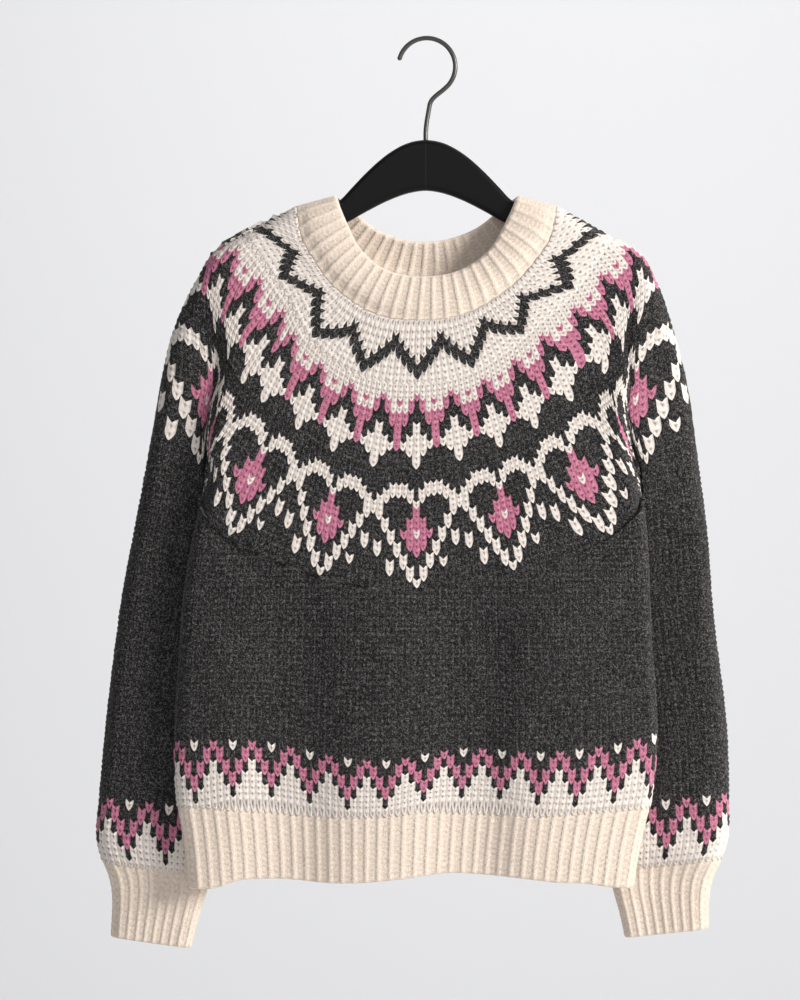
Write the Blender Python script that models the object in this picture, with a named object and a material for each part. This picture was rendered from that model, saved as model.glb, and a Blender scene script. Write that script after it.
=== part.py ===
"""A nordic yoke sweater hanging on a shaped wooden hanger.

+Z is up, the front faces -Y and the origin is the inner side of the hook's crown.
All sizes below are millimetres; meshes are written in metres.

The knitted cloth is a set of hollow walls. The round yoke is described by its courses,
the rings of stitches between the neck seam and the tips of its hearts. A place on a
course is counted in hearts from the centre front: 0 is the centre front, 9 the centre
back, and the course crosses the shoulder ridge in between. Each course gives where it
lies as seen from the front (x, z); the depth (y) comes from how far the point lies
inside the shoulder ridge and the creases where body and sleeves part.
"""
import math

import bmesh
import bpy
import numpy as np

MM = 0.001

# Cloth -----------------------------------------------------------------------------
KNIT = 3.2              # thickness of the stranded knit
RIB_KNIT = 2.6          # thickness of a rib's wall at its valleys
RIB_HEIGHT = 1.3        # how far a rib stands out of its wall
COLLAR_KNIT = 5.0       # folded double
SEAM_GAP = 0.3
CLOSE_TO_SEAM = 4       # the wood keeps clear of the collar's wall this far past its seam
DRAW_BACK = 0.7         # a wall's inside edge lies this far back from its seam
HEARTS = 18             # hearts round the yoke
HALF = HEARTS / 2
COLLAR_RIBS = 52
HEM_RIBS = 78
CUFF_RIBS = 21

# Courses of the yoke: row number below the neck seam, then (hearts from the centre
# front, x, z) along the front, the ridge, and along the back.
COURSES = (
    dict(row=0,
         front=((0, 0, -240), (1, 34, -236), (2.15, 67, -218), (2.6, 79, -208),
                (3.3, 94, -189), (4, 106, -169)),
         ridge=(4.77, 111, -142),
         back=((5.75, 92, -163), (6.87, 64, -188), (7.95, 30, -201), (9, 0, -204))),
    dict(row=8,
         front=((0, 0, -288), (1, 46, -281), (2, 87, -253), (3, 116, -208), (3.55, 137, -182)),
         ridge=(4.05, 152, -164),
         back=((5, 128, -188), (6, 98, -214), (7, 66, -236), (8, 33, -248), (9, 0, -252))),
    dict(row=13,
         front=((0, 0, -314), (1, 52, -305), (2, 100, -273), (3, 139, -225), (3.6, 162, -198)),
         ridge=(4.15, 181, -181),
         back=((5, 150, -208), (6, 114, -237), (7, 77, -260), (8, 38, -274), (9, 0, -279))),
    dict(row=18.5,
         front=((0, 0, -342), (1.13, 65, -328), (2.25, 122, -289), (2.81, 149, -262),
                (3.4, 168, -238), (3.94, 184, -215)),
         ridge=(4.25, 195.5, -204),
         back=((5, 172, -232), (6, 130, -264), (7, 88, -287), (8, 44, -301), (9, 0, -306))),
    dict(row=33.5,
         front=((0, 0, -419), (1, 74, -405), (2, 141, -373), (2.6, 166, -352), (3, 177, -339),
                (3.5, 182, -321), (4, 192, -302)),
         ridge=(4.5, 223, -284),
         back=((5, 193, -300), (6, 143, -331), (7, 118, -353), (8, 66, -375), (9, 0, -383))),
    dict(row=44,
         front=((0, 0, -471), (1, 83, -458), (2, 157, -423), (2.6, 177, -403), (3, 185, -392),
                (3.5, 190, -377), (4, 202, -366)),
         ridge=(4.5, 235.5, -357),
         back=((5, 203, -369), (6, 146, -389), (7, 121, -403), (8, 70, -426), (9, 0, -434))),
)
YOKE_ROWS = 44
ROW_HEIGHT = 5.1
# Places on the last course where body and sleeves part, front and back.
PART_FRONT, PART_BACK = 3.05, 6.0
# Columns under the arm: how far each lies inside the body's edge (its front, its back),
# and outside the sleeve's inner edge.
BODY_HIDDEN_FRONT, BODY_HIDDEN_BACK = (1.6, 0.5, 0), (0.5, 1.6, 5, 11, 22, 34)
SLEEVE_HIDDEN_FRONT, SLEEVE_HIDDEN_BACK = (0, 0.6, 2.4, 6, 12, 26), (6, 2.4, 0.6)
YOKE_RING_ROWS = np.array([0, 2.5, 5, 8, 10.5, 13, 16, 20, 25, 30, 35, 39.5, YOKE_ROWS], float)
# Columns of the yoke's wall in hearts, as if each course met the ridge half way round.
YOKE_PLACES = np.array([0, .5, 1, 1.5, 2, 2.35, 2.6, 2.8, 2.95, 3.1, 3.25, 3.5, 3.8, 4.05, 4.25,
                        4.38, 4.5, 4.62, 4.75, 4.95, 5.25, 5.6, 5.9, 6.15, 6.4, 6.7, 7, 7.5, 8,
                        8.5, 9])

# Half widths of the hanging tubes: z, then x of the edge.
BODY_EDGE = ((-212, 170), (-290, 176), (-355, 182), (-393, 188), (-444, 195.5), (-512, 200.5),
             (-597, 205), (-627, 204), (-652, 201), (-668, 197.5), (-690, 193.5), (-722, 189.5))
SLEEVE_OUTER = ((-357, 235.5), (-420, 244), (-495, 252.5), (-597, 264), (-650, 267), (-684, 268),
                (-699, 264.5), (-716, 258.5), (-775, 256))
SLEEVE_INNER = ((-357, 137), (-392, 138), (-495, 147), (-597, 159), (-684, 167), (-705, 170),
                (-722, 173), (-746, 180), (-775, 187))
# Sideways lean of the hanging cloth: z, then x of its centre line.
LEAN = ((-130, 0), (-190, -1.5), (-290, -7.5), (-400, -7.5), (-597, -9.5), (-722, -14),
        (-775, -15))

# Depths ------------------------------------------------------------------------------
RIDGE_DEPTH = 12        # half thickness where the cloth turns over the hanger
RIDGE_REACH = 12
SLEEVE_SWELL = 2        # what the middle of a sleeve adds to that
SLEEVE_BACK = 9         # how far the hanging sleeves lie behind the hanger
SLEEVE_TURN_Z = -200    # they start to fall back below this height
BODY_EDGE_DEPTH = 9.5   # half thickness of the body at its side edges
BODY_EDGE_REACH = 11
BODY_EDGE_Y = -15.2     # the side edges lie in front of the sleeves
BODY_BACK_Y = 12
CREASE_REACH = 12
BACK_CREASE_REACH = 16
CREASE_TOP, CREASE_BOTTOM = -212, -385
BACK_CREASE_TOP = -235
BACK_CREASE_X = 138
BACK_CREASE_LEAN = 0.1  # how the crease moves outwards for each millimetre up
BACK_SLOPE = 50
BODY_SWELL = 1.5        # what the middle of the body's front adds to its depth
FAR_INSIDE = 99.0       # a distance from any edge at which the edge no longer counts

# Ends of the pieces -------------------------------------------------------------------
UNDERARM_Z = -395
HEM_TOP_Z = -657
HEM_BOTTOM_Z = -712
HEM_SIDE_DROP = 8       # the hem hangs lower at its sides
HEM_WAVE = 2.2
HEM_HALF_WIDTH = 190
BODY_RING_PARTS = (0, .12, .28, .46, .64, .82, 1)
HEM_RING_PARTS = (0, .3, .65, 1)
SLEEVE_RING_PARTS = (0, .1, .25, .42, .6, .76, .88, .955, 1)
CUFF_RING_PARTS = (0, .35, 1)
CUFF_TOP_Z = -715       # on the sleeve's centre line
CUFF_BOTTOM_Z = -767
CUFF_LIFT = 3.5         # the +X cuff hangs this much higher, the other this much lower
SLEEVE_TILT = 0.13      # courses of the sleeve rise towards its outer edge
CUFF_DEPTH = 9
FLATTEN_Z, FLATTEN_LENGTH = -690, 30   # where the sleeves flatten to the cuffs' depth

# Collar ---------------------------------------------------------------------------------
COLLAR_TOP = dict(
    front=((0, 0, -204.5), (1, 26, -201), (2.15, 50, -187), (2.6, 58, -178), (3.3, 68, -160),
           (4, 75, -145)),
    ridge=(4.77, 79, -133),
    back=((5.75, 68, -142), (6.87, 46, -160), (7.95, 22, -170), (9, 0, -172.7)))
COLLAR_RIDGE_DEPTH = 13.5
COLLAR_BULGE = 2.5
COLLAR_HEIGHT = 35

# Hanger and hook --------------------------------------------------------------------------
WIRE = 4.0
HOOK_RADIUS = 24.3      # centre line of the hook's round
HOOK_TIP_ANGLE = 163
HOOK_END_ANGLE = -50
STEM_X = -1.0
STEM_BEND = ((6.5, -48.5), (2.7, -51.8), (2.1, -57))   # x, z of the bend's ends and corner
STEM_STRAIGHT_Z = -80
STEM_HOLE_CLEARANCE = 0.3
STEM_DEPTH = 12
WOOD_THICK = 12
WOOD_BEVEL = 4.4
WOOD_CLEARANCE = 1.0
ARM_END = 182
# Top and lower edge of the wood where the neck opening shows it: x from its centre, z.
WOOD_TOP = ((0, -85.3), (14, -87.5), (32, -97), (49.5, -112), (63, -126), (72.5, -136))
WOOD_LOWER = ((0, -128.5), (14, -130.5), (31, -136.5), (50, -146), (69, -156.5))
ARM_HEIGHT = ((69, 23), (110, 21), (150, 18), (ARM_END, 15))
# Under the cloth: x of the points along the arm's top and lower edge, and the tip's
# corners (out from the arm's end, down from the last point of the top).
ARM_TOP_X = (79, 88, 99, 111, 125, 139, 152, 163, 172)
ARM_LOWER_X = (160, 135, 110, 90)
ARM_TIP = ((0, 9), (-5, 17))
SHOULDER_Z = -170       # the hanger leans sideways with the cloth at this height
SHOULDER_SAMPLES = 30   # points of the ridge line that lie over the arm


def smooth(at, knots, values, end_slopes=(None, None)):
    """Cubic curve through a short table, read at any place."""
    knots, values = np.asarray(knots, float), np.asarray(values, float)
    slopes = np.gradient(values, knots)
    for index, slope in zip((0, -1), end_slopes):
        if slope is not None:
            slopes[index] = slope
    at = np.clip(at, knots[0], knots[-1])
    i = np.clip(np.searchsorted(knots, at, side="right") - 1, 0, len(knots) - 2)
    span = knots[i + 1] - knots[i]
    t = (at - knots[i]) / span
    return ((2 * t**3 - 3 * t**2 + 1) * values[i] + (t**3 - 2 * t**2 + t) * span * slopes[i]
            + (3 * t**2 - 2 * t**3) * values[i + 1] + (t**3 - t**2) * span * slopes[i + 1])


def by_height(table, z):
    """Reads a (z, value) table whose heights fall."""
    z_values, values = zip(*table[::-1])
    return smooth(z, z_values, values)


def ease(t):
    t = np.clip(t, 0, 1)
    return t * t * (3 - 2 * t)


def quarter_round(t):
    """0 at an edge, 1 from one reach inside it, round in between."""
    return np.sqrt(np.maximum(0, 1 - (1 - np.clip(t, 0, 1))**2))


def course_xz(course, hearts):
    """x and z on one course, hearts counted 0 to 9 from centre front to centre back."""
    out = np.empty((2,) + np.shape(hearts))
    front = course["front"] + (course["ridge"],)
    back = (course["ridge"],) + course["back"]
    on_front = hearts <= course["ridge"][0]
    for axis in (1, 2):
        slope = None if axis == 1 else 0
        f = smooth(hearts, [p[0] for p in front], [p[axis] for p in front], (slope, 0))
        b = smooth(hearts, [p[0] for p in back], [p[axis] for p in back], (0, slope))
        out[axis - 1] = np.where(on_front, f, b)
    return out


def blend_rows(row, rows, values):
    """smooth() over the first axis of a stack, for one row."""
    flat = values.reshape(len(rows), -1)
    return np.array([smooth(row, rows, column) for column in flat.T]).reshape(values.shape[1:])


def warped_hearts(hearts, ridge, course_ridge):
    """Moves a place so that each course meets the ridge at the same count."""
    front = hearts * course_ridge / ridge
    back = HALF - (HALF - hearts) * (HALF - course_ridge) / (HALF - ridge)
    return np.where(hearts <= ridge, front, back)


def yoke_xz(row, hearts):
    """x, z and side (-1 front, +1 back) of points of one row of the yoke."""
    rows = [c["row"] for c in COURSES]
    ridge = float(smooth(row, rows, [c["ridge"][0] for c in COURSES]))
    places = [course_xz(c, warped_hearts(hearts, ridge, c["ridge"][0])) for c in COURSES]
    places = np.array(places)
    x = blend_rows(row, rows, places[:, 0])
    z = blend_rows(row, rows, places[:, 1])
    return x, z, np.where(hearts <= ridge, -1, 1)


def ridge_line(samples=90):
    """The outline that the shoulders and sleeves show, from neck seam to cuff."""
    rows = [c["row"] for c in COURSES]
    row = np.linspace(0, YOKE_ROWS, samples)
    x = smooth(row, rows, [c["ridge"][1] for c in COURSES])
    z = smooth(row, rows, [c["ridge"][2] for c in COURSES])
    below = np.linspace(z[-1] - 5, SLEEVE_OUTER[-1][0], samples // 2)
    return (np.concatenate([x, by_height(SLEEVE_OUTER, below)]), np.concatenate([z, below]))


def inside_distance(x, z, line):
    """Distance of points from a polyline."""
    lx, lz = line
    ax, az = lx[:-1], lz[:-1]
    dx, dz = np.diff(lx), np.diff(lz)
    px, pz = np.asarray(x)[..., None], np.asarray(z)[..., None]
    t = np.clip(((px - ax) * dx + (pz - az) * dz) / (dx * dx + dz * dz), 0, 1)
    return np.sqrt((px - ax - t * dx)**2 + (pz - az - t * dz)**2).min(axis=-1)


def sleeve_depth(inside):
    swell = 1 - np.exp(-np.maximum(inside - RIDGE_REACH / 2, 0) / 30)
    return RIDGE_DEPTH * quarter_round(inside / RIDGE_REACH) + SLEEVE_SWELL * swell


def sleeve_middle(z):
    """y of the sleeves' middle: the hanger's plane at the shoulder, behind it below."""
    return SLEEVE_BACK * ease((SLEEVE_TURN_Z - z) / (SLEEVE_TURN_Z - CREASE_BOTTOM))


def body_front_y(inside):
    swell = BODY_SWELL * (1 - np.exp(-np.maximum(inside, 0) / BACK_SLOPE))
    return BODY_EDGE_Y - BODY_EDGE_DEPTH * quarter_round(inside / BODY_EDGE_REACH) - swell


def back_crease_x(z):
    return BACK_CREASE_X + BACK_CREASE_LEAN * (z - UNDERARM_Z)


def body_back_y(x, z, inside):
    """Flat behind the side edges, where the sleeves lie, and full between them."""
    edge = BODY_EDGE_Y + BODY_EDGE_DEPTH * quarter_round(inside / BODY_EDGE_REACH)
    full = BODY_BACK_Y - BODY_EDGE_Y - BODY_EDGE_DEPTH
    return edge + full * ease((back_crease_x(z) - np.abs(x)) / BACK_SLOPE)


def yoke_y(x, z, side, line):
    inside = inside_distance(x, z, line)
    sleeve = sleeve_middle(z) + side * sleeve_depth(inside)
    body_inside = by_height(BODY_EDGE, z) - x
    crease = ease((CREASE_TOP - z) / (CREASE_TOP - CREASE_BOTTOM))
    front_pull = crease * quarter_round(body_inside / CREASE_REACH)
    front = sleeve + front_pull * (body_front_y(body_inside) - sleeve)
    groove = ease((BACK_CREASE_TOP - z) / (BACK_CREASE_TOP - UNDERARM_Z))
    outside = x - back_crease_x(z)
    valley = BODY_EDGE_Y + BODY_EDGE_DEPTH
    inner = body_back_y(x, z, np.full_like(x, FAR_INSIDE))
    outer = valley + (sleeve - valley) * quarter_round(outside / BACK_CREASE_REACH)
    back = sleeve + groove * (np.where(outside > 0, outer, inner) - sleeve)
    return np.where(side < 0, front, back)


def leaning(points):
    points = points.copy()
    points[..., 0] += by_height(LEAN, points[..., 2])
    return points


def full_turn(half):
    """Adds the mirrored half of a ring whose first and last points are on the middle."""
    mirrored = half[1:-1][::-1] * np.array([-1.0, 1.0, 1.0])
    return np.concatenate([half, mirrored])


def surface_normals(grid):
    """Outward normals of a grid of rings that run from the centre front to +X."""
    around = np.roll(grid, -1, axis=1) - np.roll(grid, 1, axis=1)
    along = np.gradient(grid, axis=0)
    rises = grid[-1, :, 2].mean() > grid[0, :, 2].mean()
    normal = np.cross(around, along) if rises else np.cross(along, around)
    normal /= np.linalg.norm(normal, axis=2, keepdims=True)
    return normal


def wall(outer, thickness, raised=None, lip_rows=(), top_limit=None, end_limit=None):
    """Rings of a closed wall: along the outside, round the last edge, back up the inside.

    raised gives how far each point of the outside stands out. lip_rows are the parts of
    the last edge's half round, from 0 outside to 1 inside. The inside's first ring draws
    back a little from the seam. top_limit gives the highest place that it may have, and
    end_limit the lowest place for the inside's last ring.
    """
    normal = surface_normals(outer)
    inner = outer - normal * thickness
    first_strip = np.linalg.norm(inner[1] - inner[0], axis=1, keepdims=True)
    inner[0] += (inner[1] - inner[0]) * np.minimum(1, DRAW_BACK / first_strip)
    if top_limit is not None:
        inner[0, :, 2] = np.minimum(inner[0, :, 2], top_limit(inner[0]))
    if end_limit is not None:
        inner[-1, :, 2] = np.maximum(inner[-1, :, 2], end_limit(inner[-1]))
    outside = outer if raised is None else outer + normal * raised
    last_out, last_in = outside[-1], inner[-1]
    down = outside[-1] - outside[-2]
    down /= np.linalg.norm(down, axis=1, keepdims=True)
    lip = []
    for part in lip_rows:
        bulge = math.sin(part * math.pi) * thickness / 2
        lip.append(last_out + (last_in - last_out) * part + down * bulge)
    return np.concatenate([outside, np.array(lip).reshape(-1, *last_out.shape), inner[::-1]])


def solid(name, rings, material):
    """A closed solid from rings that go round a wall and back to the first ring."""
    mesh = bpy.data.meshes.new(name)
    count, around = rings.shape[:2]
    bm = bmesh.new()
    verts = [[bm.verts.new(p * MM) for p in ring] for ring in rings]
    for r in range(count):
        below = verts[(r + 1) % count]
        for c in range(around):
            nxt = (c + 1) % around
            bm.faces.new((verts[r][c], below[c], below[nxt], verts[r][nxt]))
    bmesh.ops.triangulate(bm, faces=bm.faces)
    bmesh.ops.recalc_face_normals(bm, faces=bm.faces)
    bm.to_mesh(mesh)
    bm.free()
    mesh.materials.append(material)
    mesh.shade_smooth()
    obj = bpy.data.objects.new(name, mesh)
    bpy.context.scene.collection.objects.link(obj)
    return obj


def plain_material(name, colour, roughness, metallic=0.0):
    material = bpy.data.materials.new(name)
    material.use_nodes = True
    shader = material.node_tree.nodes["Principled BSDF"]
    shader.inputs["Base Color"].default_value = (*colour, 1.0)
    shader.inputs["Roughness"].default_value = roughness
    shader.inputs["Metallic"].default_value = metallic
    return material


def rib_raise(ribs, points_per_rib, rows):
    """Raises all but the first point of each rib."""
    pattern = [0.0] + [RIB_HEIGHT] * (points_per_rib - 1)
    return np.tile(pattern, ribs)[None, :, None] * np.ones((rows, 1, 1))


def even_ring(ring, count):
    """Resamples a closed ring to evenly spaced points, from its first point on."""
    closed = np.concatenate([ring, ring[:1]])
    run = np.concatenate([[0], np.cumsum(np.linalg.norm(np.diff(closed, axis=0), axis=1))])
    at = np.arange(count) / count * run[-1]
    return np.stack([np.interp(at, run, closed[:, axis]) for axis in range(3)], axis=1)


def yoke_half_ring(row, line):
    """Half a ring of the yoke: its points, their sides and their places in hearts."""
    ridge = float(smooth(row, [c["row"] for c in COURSES], [c["ridge"][0] for c in COURSES]))
    middle = HALF / 2
    hearts = np.where(YOKE_PLACES <= middle, YOKE_PLACES * ridge / middle,
                      HALF - (HALF - YOKE_PLACES) * (HALF - ridge) / middle)
    x, z, side = yoke_xz(row, hearts)
    return np.stack([x, yoke_y(x, z, side, line), z], axis=1), side, hearts


def make_yoke(material):
    line = ridge_line()
    rows = YOKE_RING_ROWS.copy()
    rows[0] += SEAM_GAP / 2 / ROW_HEIGHT
    rows[-1] -= SEAM_GAP / 2 / ROW_HEIGHT
    outer = np.array([full_turn(yoke_half_ring(row, line)[0]) for row in rows])
    rings = wall(outer, KNIT, end_limit=lambda ring: body_seam_z(ring) + SEAM_GAP / 2)
    return solid("yoke", leaning(rings), material)


def tube_columns(of_body):
    """Where the columns of the body (or of a sleeve) start under the yoke's lower edge.

    Gives x, z and side of half a ring. The body runs from centre front to centre back,
    the sleeve from its inner edge over the front and the outer edge to the back.
    """
    points, side, hearts = yoke_half_ring(YOKE_ROWS, ridge_line())
    x, z = points[:, 0], points[:, 2]
    if of_body:
        edge = float(by_height(BODY_EDGE, UNDERARM_Z))
        front, back = hearts < PART_FRONT, hearts > PART_BACK
        front_x, back_x = edge - np.array(BODY_HIDDEN_FRONT), edge - np.array(BODY_HIDDEN_BACK)
    else:
        edge = float(by_height(SLEEVE_INNER, UNDERARM_Z))
        front, back = (hearts > PART_FRONT) & (side < 0), (hearts < PART_BACK) & (side > 0)
        front_x = edge + np.array(SLEEVE_HIDDEN_FRONT)
        back_x = edge + np.array(SLEEVE_HIDDEN_BACK)
    seen = [(x[part], z[part], side[part]) for part in (front, back)]
    under = [(front_x, np.full(len(front_x), UNDERARM_Z), np.full(len(front_x), -1)),
             (back_x, np.full(len(back_x), UNDERARM_Z), np.full(len(back_x), 1))]
    order = (seen[0], *under, seen[1]) if of_body else (under[0], *seen, under[1])
    return tuple(np.concatenate(column) for column in zip(*order))


def body_points(x, z, side):
    """Points of the body's tube at given x, z and side."""
    inside = by_height(BODY_EDGE, z) - x
    y = np.where(side < 0, body_front_y(inside), body_back_y(x, z, inside))
    return np.stack([x, y, z], axis=1)


def hem_drop(x):
    across = x / HEM_HALF_WIDTH
    return HEM_WAVE * np.cos(across * 4 * math.pi) - HEM_SIDE_DROP * across**2


def make_body(material):
    top_x, top_z, side = tube_columns(of_body=True)
    top_z = top_z - SEAM_GAP
    share = top_x / by_height(BODY_EDGE, top_z)
    grid = []
    for part in BODY_RING_PARTS:
        x = top_x
        for _ in range(4):
            z = top_z + (HEM_TOP_Z + SEAM_GAP / 2 - top_z) * part
            x = share * by_height(BODY_EDGE, z)
        grid.append(full_turn(body_points(x, z, side)))
    outer = np.array(grid)
    rings = wall(outer, KNIT, top_limit=lambda ring: body_seam_z(ring) - SEAM_GAP)
    return solid("body", leaning(rings), material)


def body_seam_z(points):
    """Height of the seam between yoke and body straight in front of or behind points."""
    x, z, side = tube_columns(of_body=True)
    far = np.abs(points[:, 0])
    front, back = side < 0, side > 0
    over_front = np.interp(far, x[front], z[front])
    over_back = np.interp(far, x[back][::-1], z[back][::-1])
    return np.where(points[:, 1] < BODY_EDGE_Y, over_front, over_back)


def make_hem(material):
    per_rib = 2
    edge = float(by_height(BODY_EDGE, HEM_TOP_Z))
    turn = np.linspace(0, math.pi, 61)
    share = np.sin(turn) ** 0.8
    side = np.where(turn <= math.pi / 2, -1, 1)
    grid = []
    for part in HEM_RING_PARTS:
        x = share * edge
        for _ in range(4):
            top = HEM_TOP_Z - SEAM_GAP / 2
            z = top + (HEM_BOTTOM_Z + hem_drop(x) - top) * part
            x = share * by_height(BODY_EDGE, z)
        ring = full_turn(body_points(x, z, side))
        grid.append(even_ring(ring, HEM_RIBS * per_rib))
    rings = wall(np.array(grid), RIB_KNIT, rib_raise(HEM_RIBS, per_rib, len(grid)), (0.5,))
    return solid("hem_rib", leaning(rings), material)


def sleeve_points(share, side, z):
    """Points of a sleeve; share is 0 at its inner edge and 1 at its outer edge."""
    outer, inner = by_height(SLEEVE_OUTER, z), by_height(SLEEVE_INNER, z)
    x = inner + (outer - inner) * share
    inside = np.minimum(outer - x, x - inner)
    depth = sleeve_depth(inside) * sleeve_fullness(z)
    return np.stack([x, sleeve_middle(z) + side * depth, z], axis=1)


def sleeve_course_z(height, share):
    """Height of a point on a sleeve's course that crosses its middle at height."""
    width = by_height(SLEEVE_OUTER, height) - by_height(SLEEVE_INNER, height)
    return height + SLEEVE_TILT * width * (share - 0.5)


def sleeve_fullness(z):
    """The cuffs are flatter than the sleeves."""
    flat = CUFF_DEPTH / (RIDGE_DEPTH + SLEEVE_SWELL)
    return 1 - (1 - flat) * ease((FLATTEN_Z - z) / FLATTEN_LENGTH)


def on_side(outer, side):
    """A ring grid of the +X side, or its mirror image with the rings turned to match."""
    mirrored = outer * np.array([side, 1, 1])
    return mirrored if side > 0 else mirrored[:, ::-1]


def make_sleeve(side, name, material):
    top_x, top_z, face = tube_columns(of_body=False)
    inner, outer = by_height(SLEEVE_INNER, top_z), by_height(SLEEVE_OUTER, top_z)
    share = np.clip((top_x - inner) / (outer - inner), 0, 1)
    top_z = top_z - SEAM_GAP
    bottom = sleeve_course_z(CUFF_TOP_Z + side * CUFF_LIFT + SEAM_GAP / 2, share)
    grid = []
    for part in SLEEVE_RING_PARTS:
        grid.append(sleeve_points(share, face, top_z + (bottom - top_z) * part))
    rings = wall(np.array(grid), KNIT)
    return solid(name, leaning(on_side(rings, side)), material)


def make_cuff(side, name, material):
    per_rib = 3
    turn = np.arange(80) / 80 * 2 * math.pi
    share = (1 - np.sign(np.cos(turn)) * np.abs(np.cos(turn))**0.9) / 2
    face = np.where(turn < math.pi, -1, 1)
    grid = []
    for part in CUFF_RING_PARTS:
        height = CUFF_TOP_Z - SEAM_GAP / 2 + (CUFF_BOTTOM_Z - CUFF_TOP_Z) * part
        height += side * CUFF_LIFT
        ring = sleeve_points(share, face, sleeve_course_z(height, share))
        grid.append(even_ring(ring, CUFF_RIBS * per_rib))
    rings = wall(np.array(grid), RIB_KNIT, rib_raise(CUFF_RIBS, per_rib, len(grid)), (0.5,))
    return solid(name, leaning(on_side(rings, side)), material)


def collar_ring(part, count):
    """A ring of the collar between the neck seam (0) and its top edge (1)."""
    seam, _, seam_places = yoke_half_ring(0, ridge_line())
    places = np.linspace(0, HALF, 91)
    seam_x, seam_y, seam_z = (np.interp(places, seam_places, seam[:, axis]) for axis in range(3))
    top_x, top_z = course_xz(COLLAR_TOP, places)
    x = seam_x + (top_x - seam_x) * part
    z = seam_z + (top_z - seam_z) * part
    ends = COURSES[0]["ridge"], COLLAR_TOP["ridge"]
    line = (np.array([end[1] for end in ends]), np.array([end[2] for end in ends]))
    inside = inside_distance(x, z, line)
    side = np.where(places <= ends[0][0], -1, 1)
    depth = COLLAR_RIDGE_DEPTH * quarter_round(inside / COLLAR_RIDGE_DEPTH)
    swell = (SLEEVE_SWELL + COLLAR_BULGE * math.sin(part * math.pi)) * (1 - np.exp(-inside / 20))
    own_share = ease(part / 0.3)
    y = seam_y + (side * (depth + swell) - seam_y) * own_share
    return even_ring(full_turn(np.stack([x, y, z], axis=1)), count)


def make_collar(material):
    per_rib = 3
    parts = (SEAM_GAP / COLLAR_HEIGHT, .3, .7, 1)
    grid = np.array([collar_ring(part, COLLAR_RIBS * per_rib) for part in parts])
    rings = wall(grid, COLLAR_KNIT, rib_raise(COLLAR_RIBS, per_rib, len(parts)), (0.2, 0.5, 0.8))
    return solid("collar", leaning(rings), material)


def wood_outline():
    """The hanger's outline on +X, from its top middle to the arm's end and back below."""
    line_x, line_z = ridge_line()
    ridge_x = np.concatenate([[COLLAR_TOP["ridge"][1]], line_x[:SHOULDER_SAMPLES]])
    ridge_z = np.concatenate([[COLLAR_TOP["ridge"][2]], line_z[:SHOULDER_SAMPLES]])
    lean = float(by_height(LEAN, SHOULDER_Z))
    arm_x = np.array(ARM_TOP_X, float)
    wall_above = np.where(arm_x < ridge_x[1] + CLOSE_TO_SEAM, COLLAR_KNIT, KNIT)
    shoulder = np.interp(arm_x, ridge_x, ridge_z)
    upright = np.sqrt(1 + np.gradient(shoulder, arm_x)**2)
    arm_z = shoulder - (wall_above + WOOD_CLEARANCE) * upright
    top = list(WOOD_TOP) + list(zip(arm_x + lean, arm_z))
    tip = [(ARM_END + lean + out, top[-1][1] - down) for out, down in ARM_TIP]
    lower_z = np.interp(ARM_LOWER_X, *zip(*top)) - np.interp(ARM_LOWER_X, *zip(*ARM_HEIGHT))
    return top + tip + list(zip(ARM_LOWER_X, lower_z)) + list(WOOD_LOWER[::-1])


def make_hanger(material):
    half = wood_outline()
    outline = half + [(-x, z) for x, z in half[-2:0:-1]]
    bm = bmesh.new()
    verts = [bm.verts.new(((x + STEM_X) * MM, -WOOD_THICK / 2 * MM, z * MM)) for x, z in outline]
    face = bm.faces.new(verts)
    pushed = bmesh.ops.extrude_face_region(bm, geom=[face])
    moved = [v for v in pushed["geom"] if isinstance(v, bmesh.types.BMVert)]
    bmesh.ops.translate(bm, verts=moved, vec=(0, WOOD_THICK * MM, 0))
    rims = [e for e in bm.edges if abs(e.verts[0].co.y - e.verts[1].co.y) < 1e-6]
    bmesh.ops.bevel(bm, geom=rims, offset=WOOD_BEVEL * MM, segments=3, profile=0.5,
                    affect="EDGES")
    bmesh.ops.recalc_face_normals(bm, faces=bm.faces)
    mesh = bpy.data.meshes.new("hanger")
    bm.to_mesh(mesh)
    bm.free()
    mesh.materials.append(material)
    obj = bpy.data.objects.new("hanger", mesh)
    bpy.context.scene.collection.objects.link(obj)
    bore = obj.modifiers.new("stem hole", "BOOLEAN")
    bore.object = stem_hole_cutter()
    return obj


def stem_hole_cutter():
    mesh = bpy.data.meshes.new("stem_hole")
    bm = bmesh.new()
    radius = (WIRE / 2 + STEM_HOLE_CLEARANCE) * MM
    bmesh.ops.create_cone(bm, cap_ends=True, segments=12, radius1=radius, radius2=radius,
                          depth=2 * (STEM_DEPTH + SEAM_GAP) * MM)
    bm.to_mesh(mesh)
    bm.free()
    cutter = bpy.data.objects.new("stem_hole", mesh)
    cutter.location = (STEM_X * MM, 0, WOOD_TOP[0][1] * MM)
    cutter.hide_render = True
    cutter.display_type = "WIRE"
    bpy.context.scene.collection.objects.link(cutter)
    return cutter


def hook_route():
    """The wire's centre line from its tip over the crown, through the bend, to its foot."""
    centre_z = -HOOK_RADIUS + WIRE / 2
    angles = np.radians(np.linspace(HOOK_TIP_ANGLE, HOOK_END_ANGLE, 26))
    route = [(HOOK_RADIUS * math.cos(a), centre_z + HOOK_RADIUS * math.sin(a)) for a in angles]
    start, corner, end = (np.array(p) for p in STEM_BEND)
    for t in np.linspace(0, 1, 6):
        route.append(tuple((1 - t)**2 * start + 2 * t * (1 - t) * corner + t**2 * end))
    for z in (STEM_STRAIGHT_Z, STEM_STRAIGHT_Z - 3, WOOD_TOP[0][1] - STEM_DEPTH):
        route.append((STEM_X, z))
    return route


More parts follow.
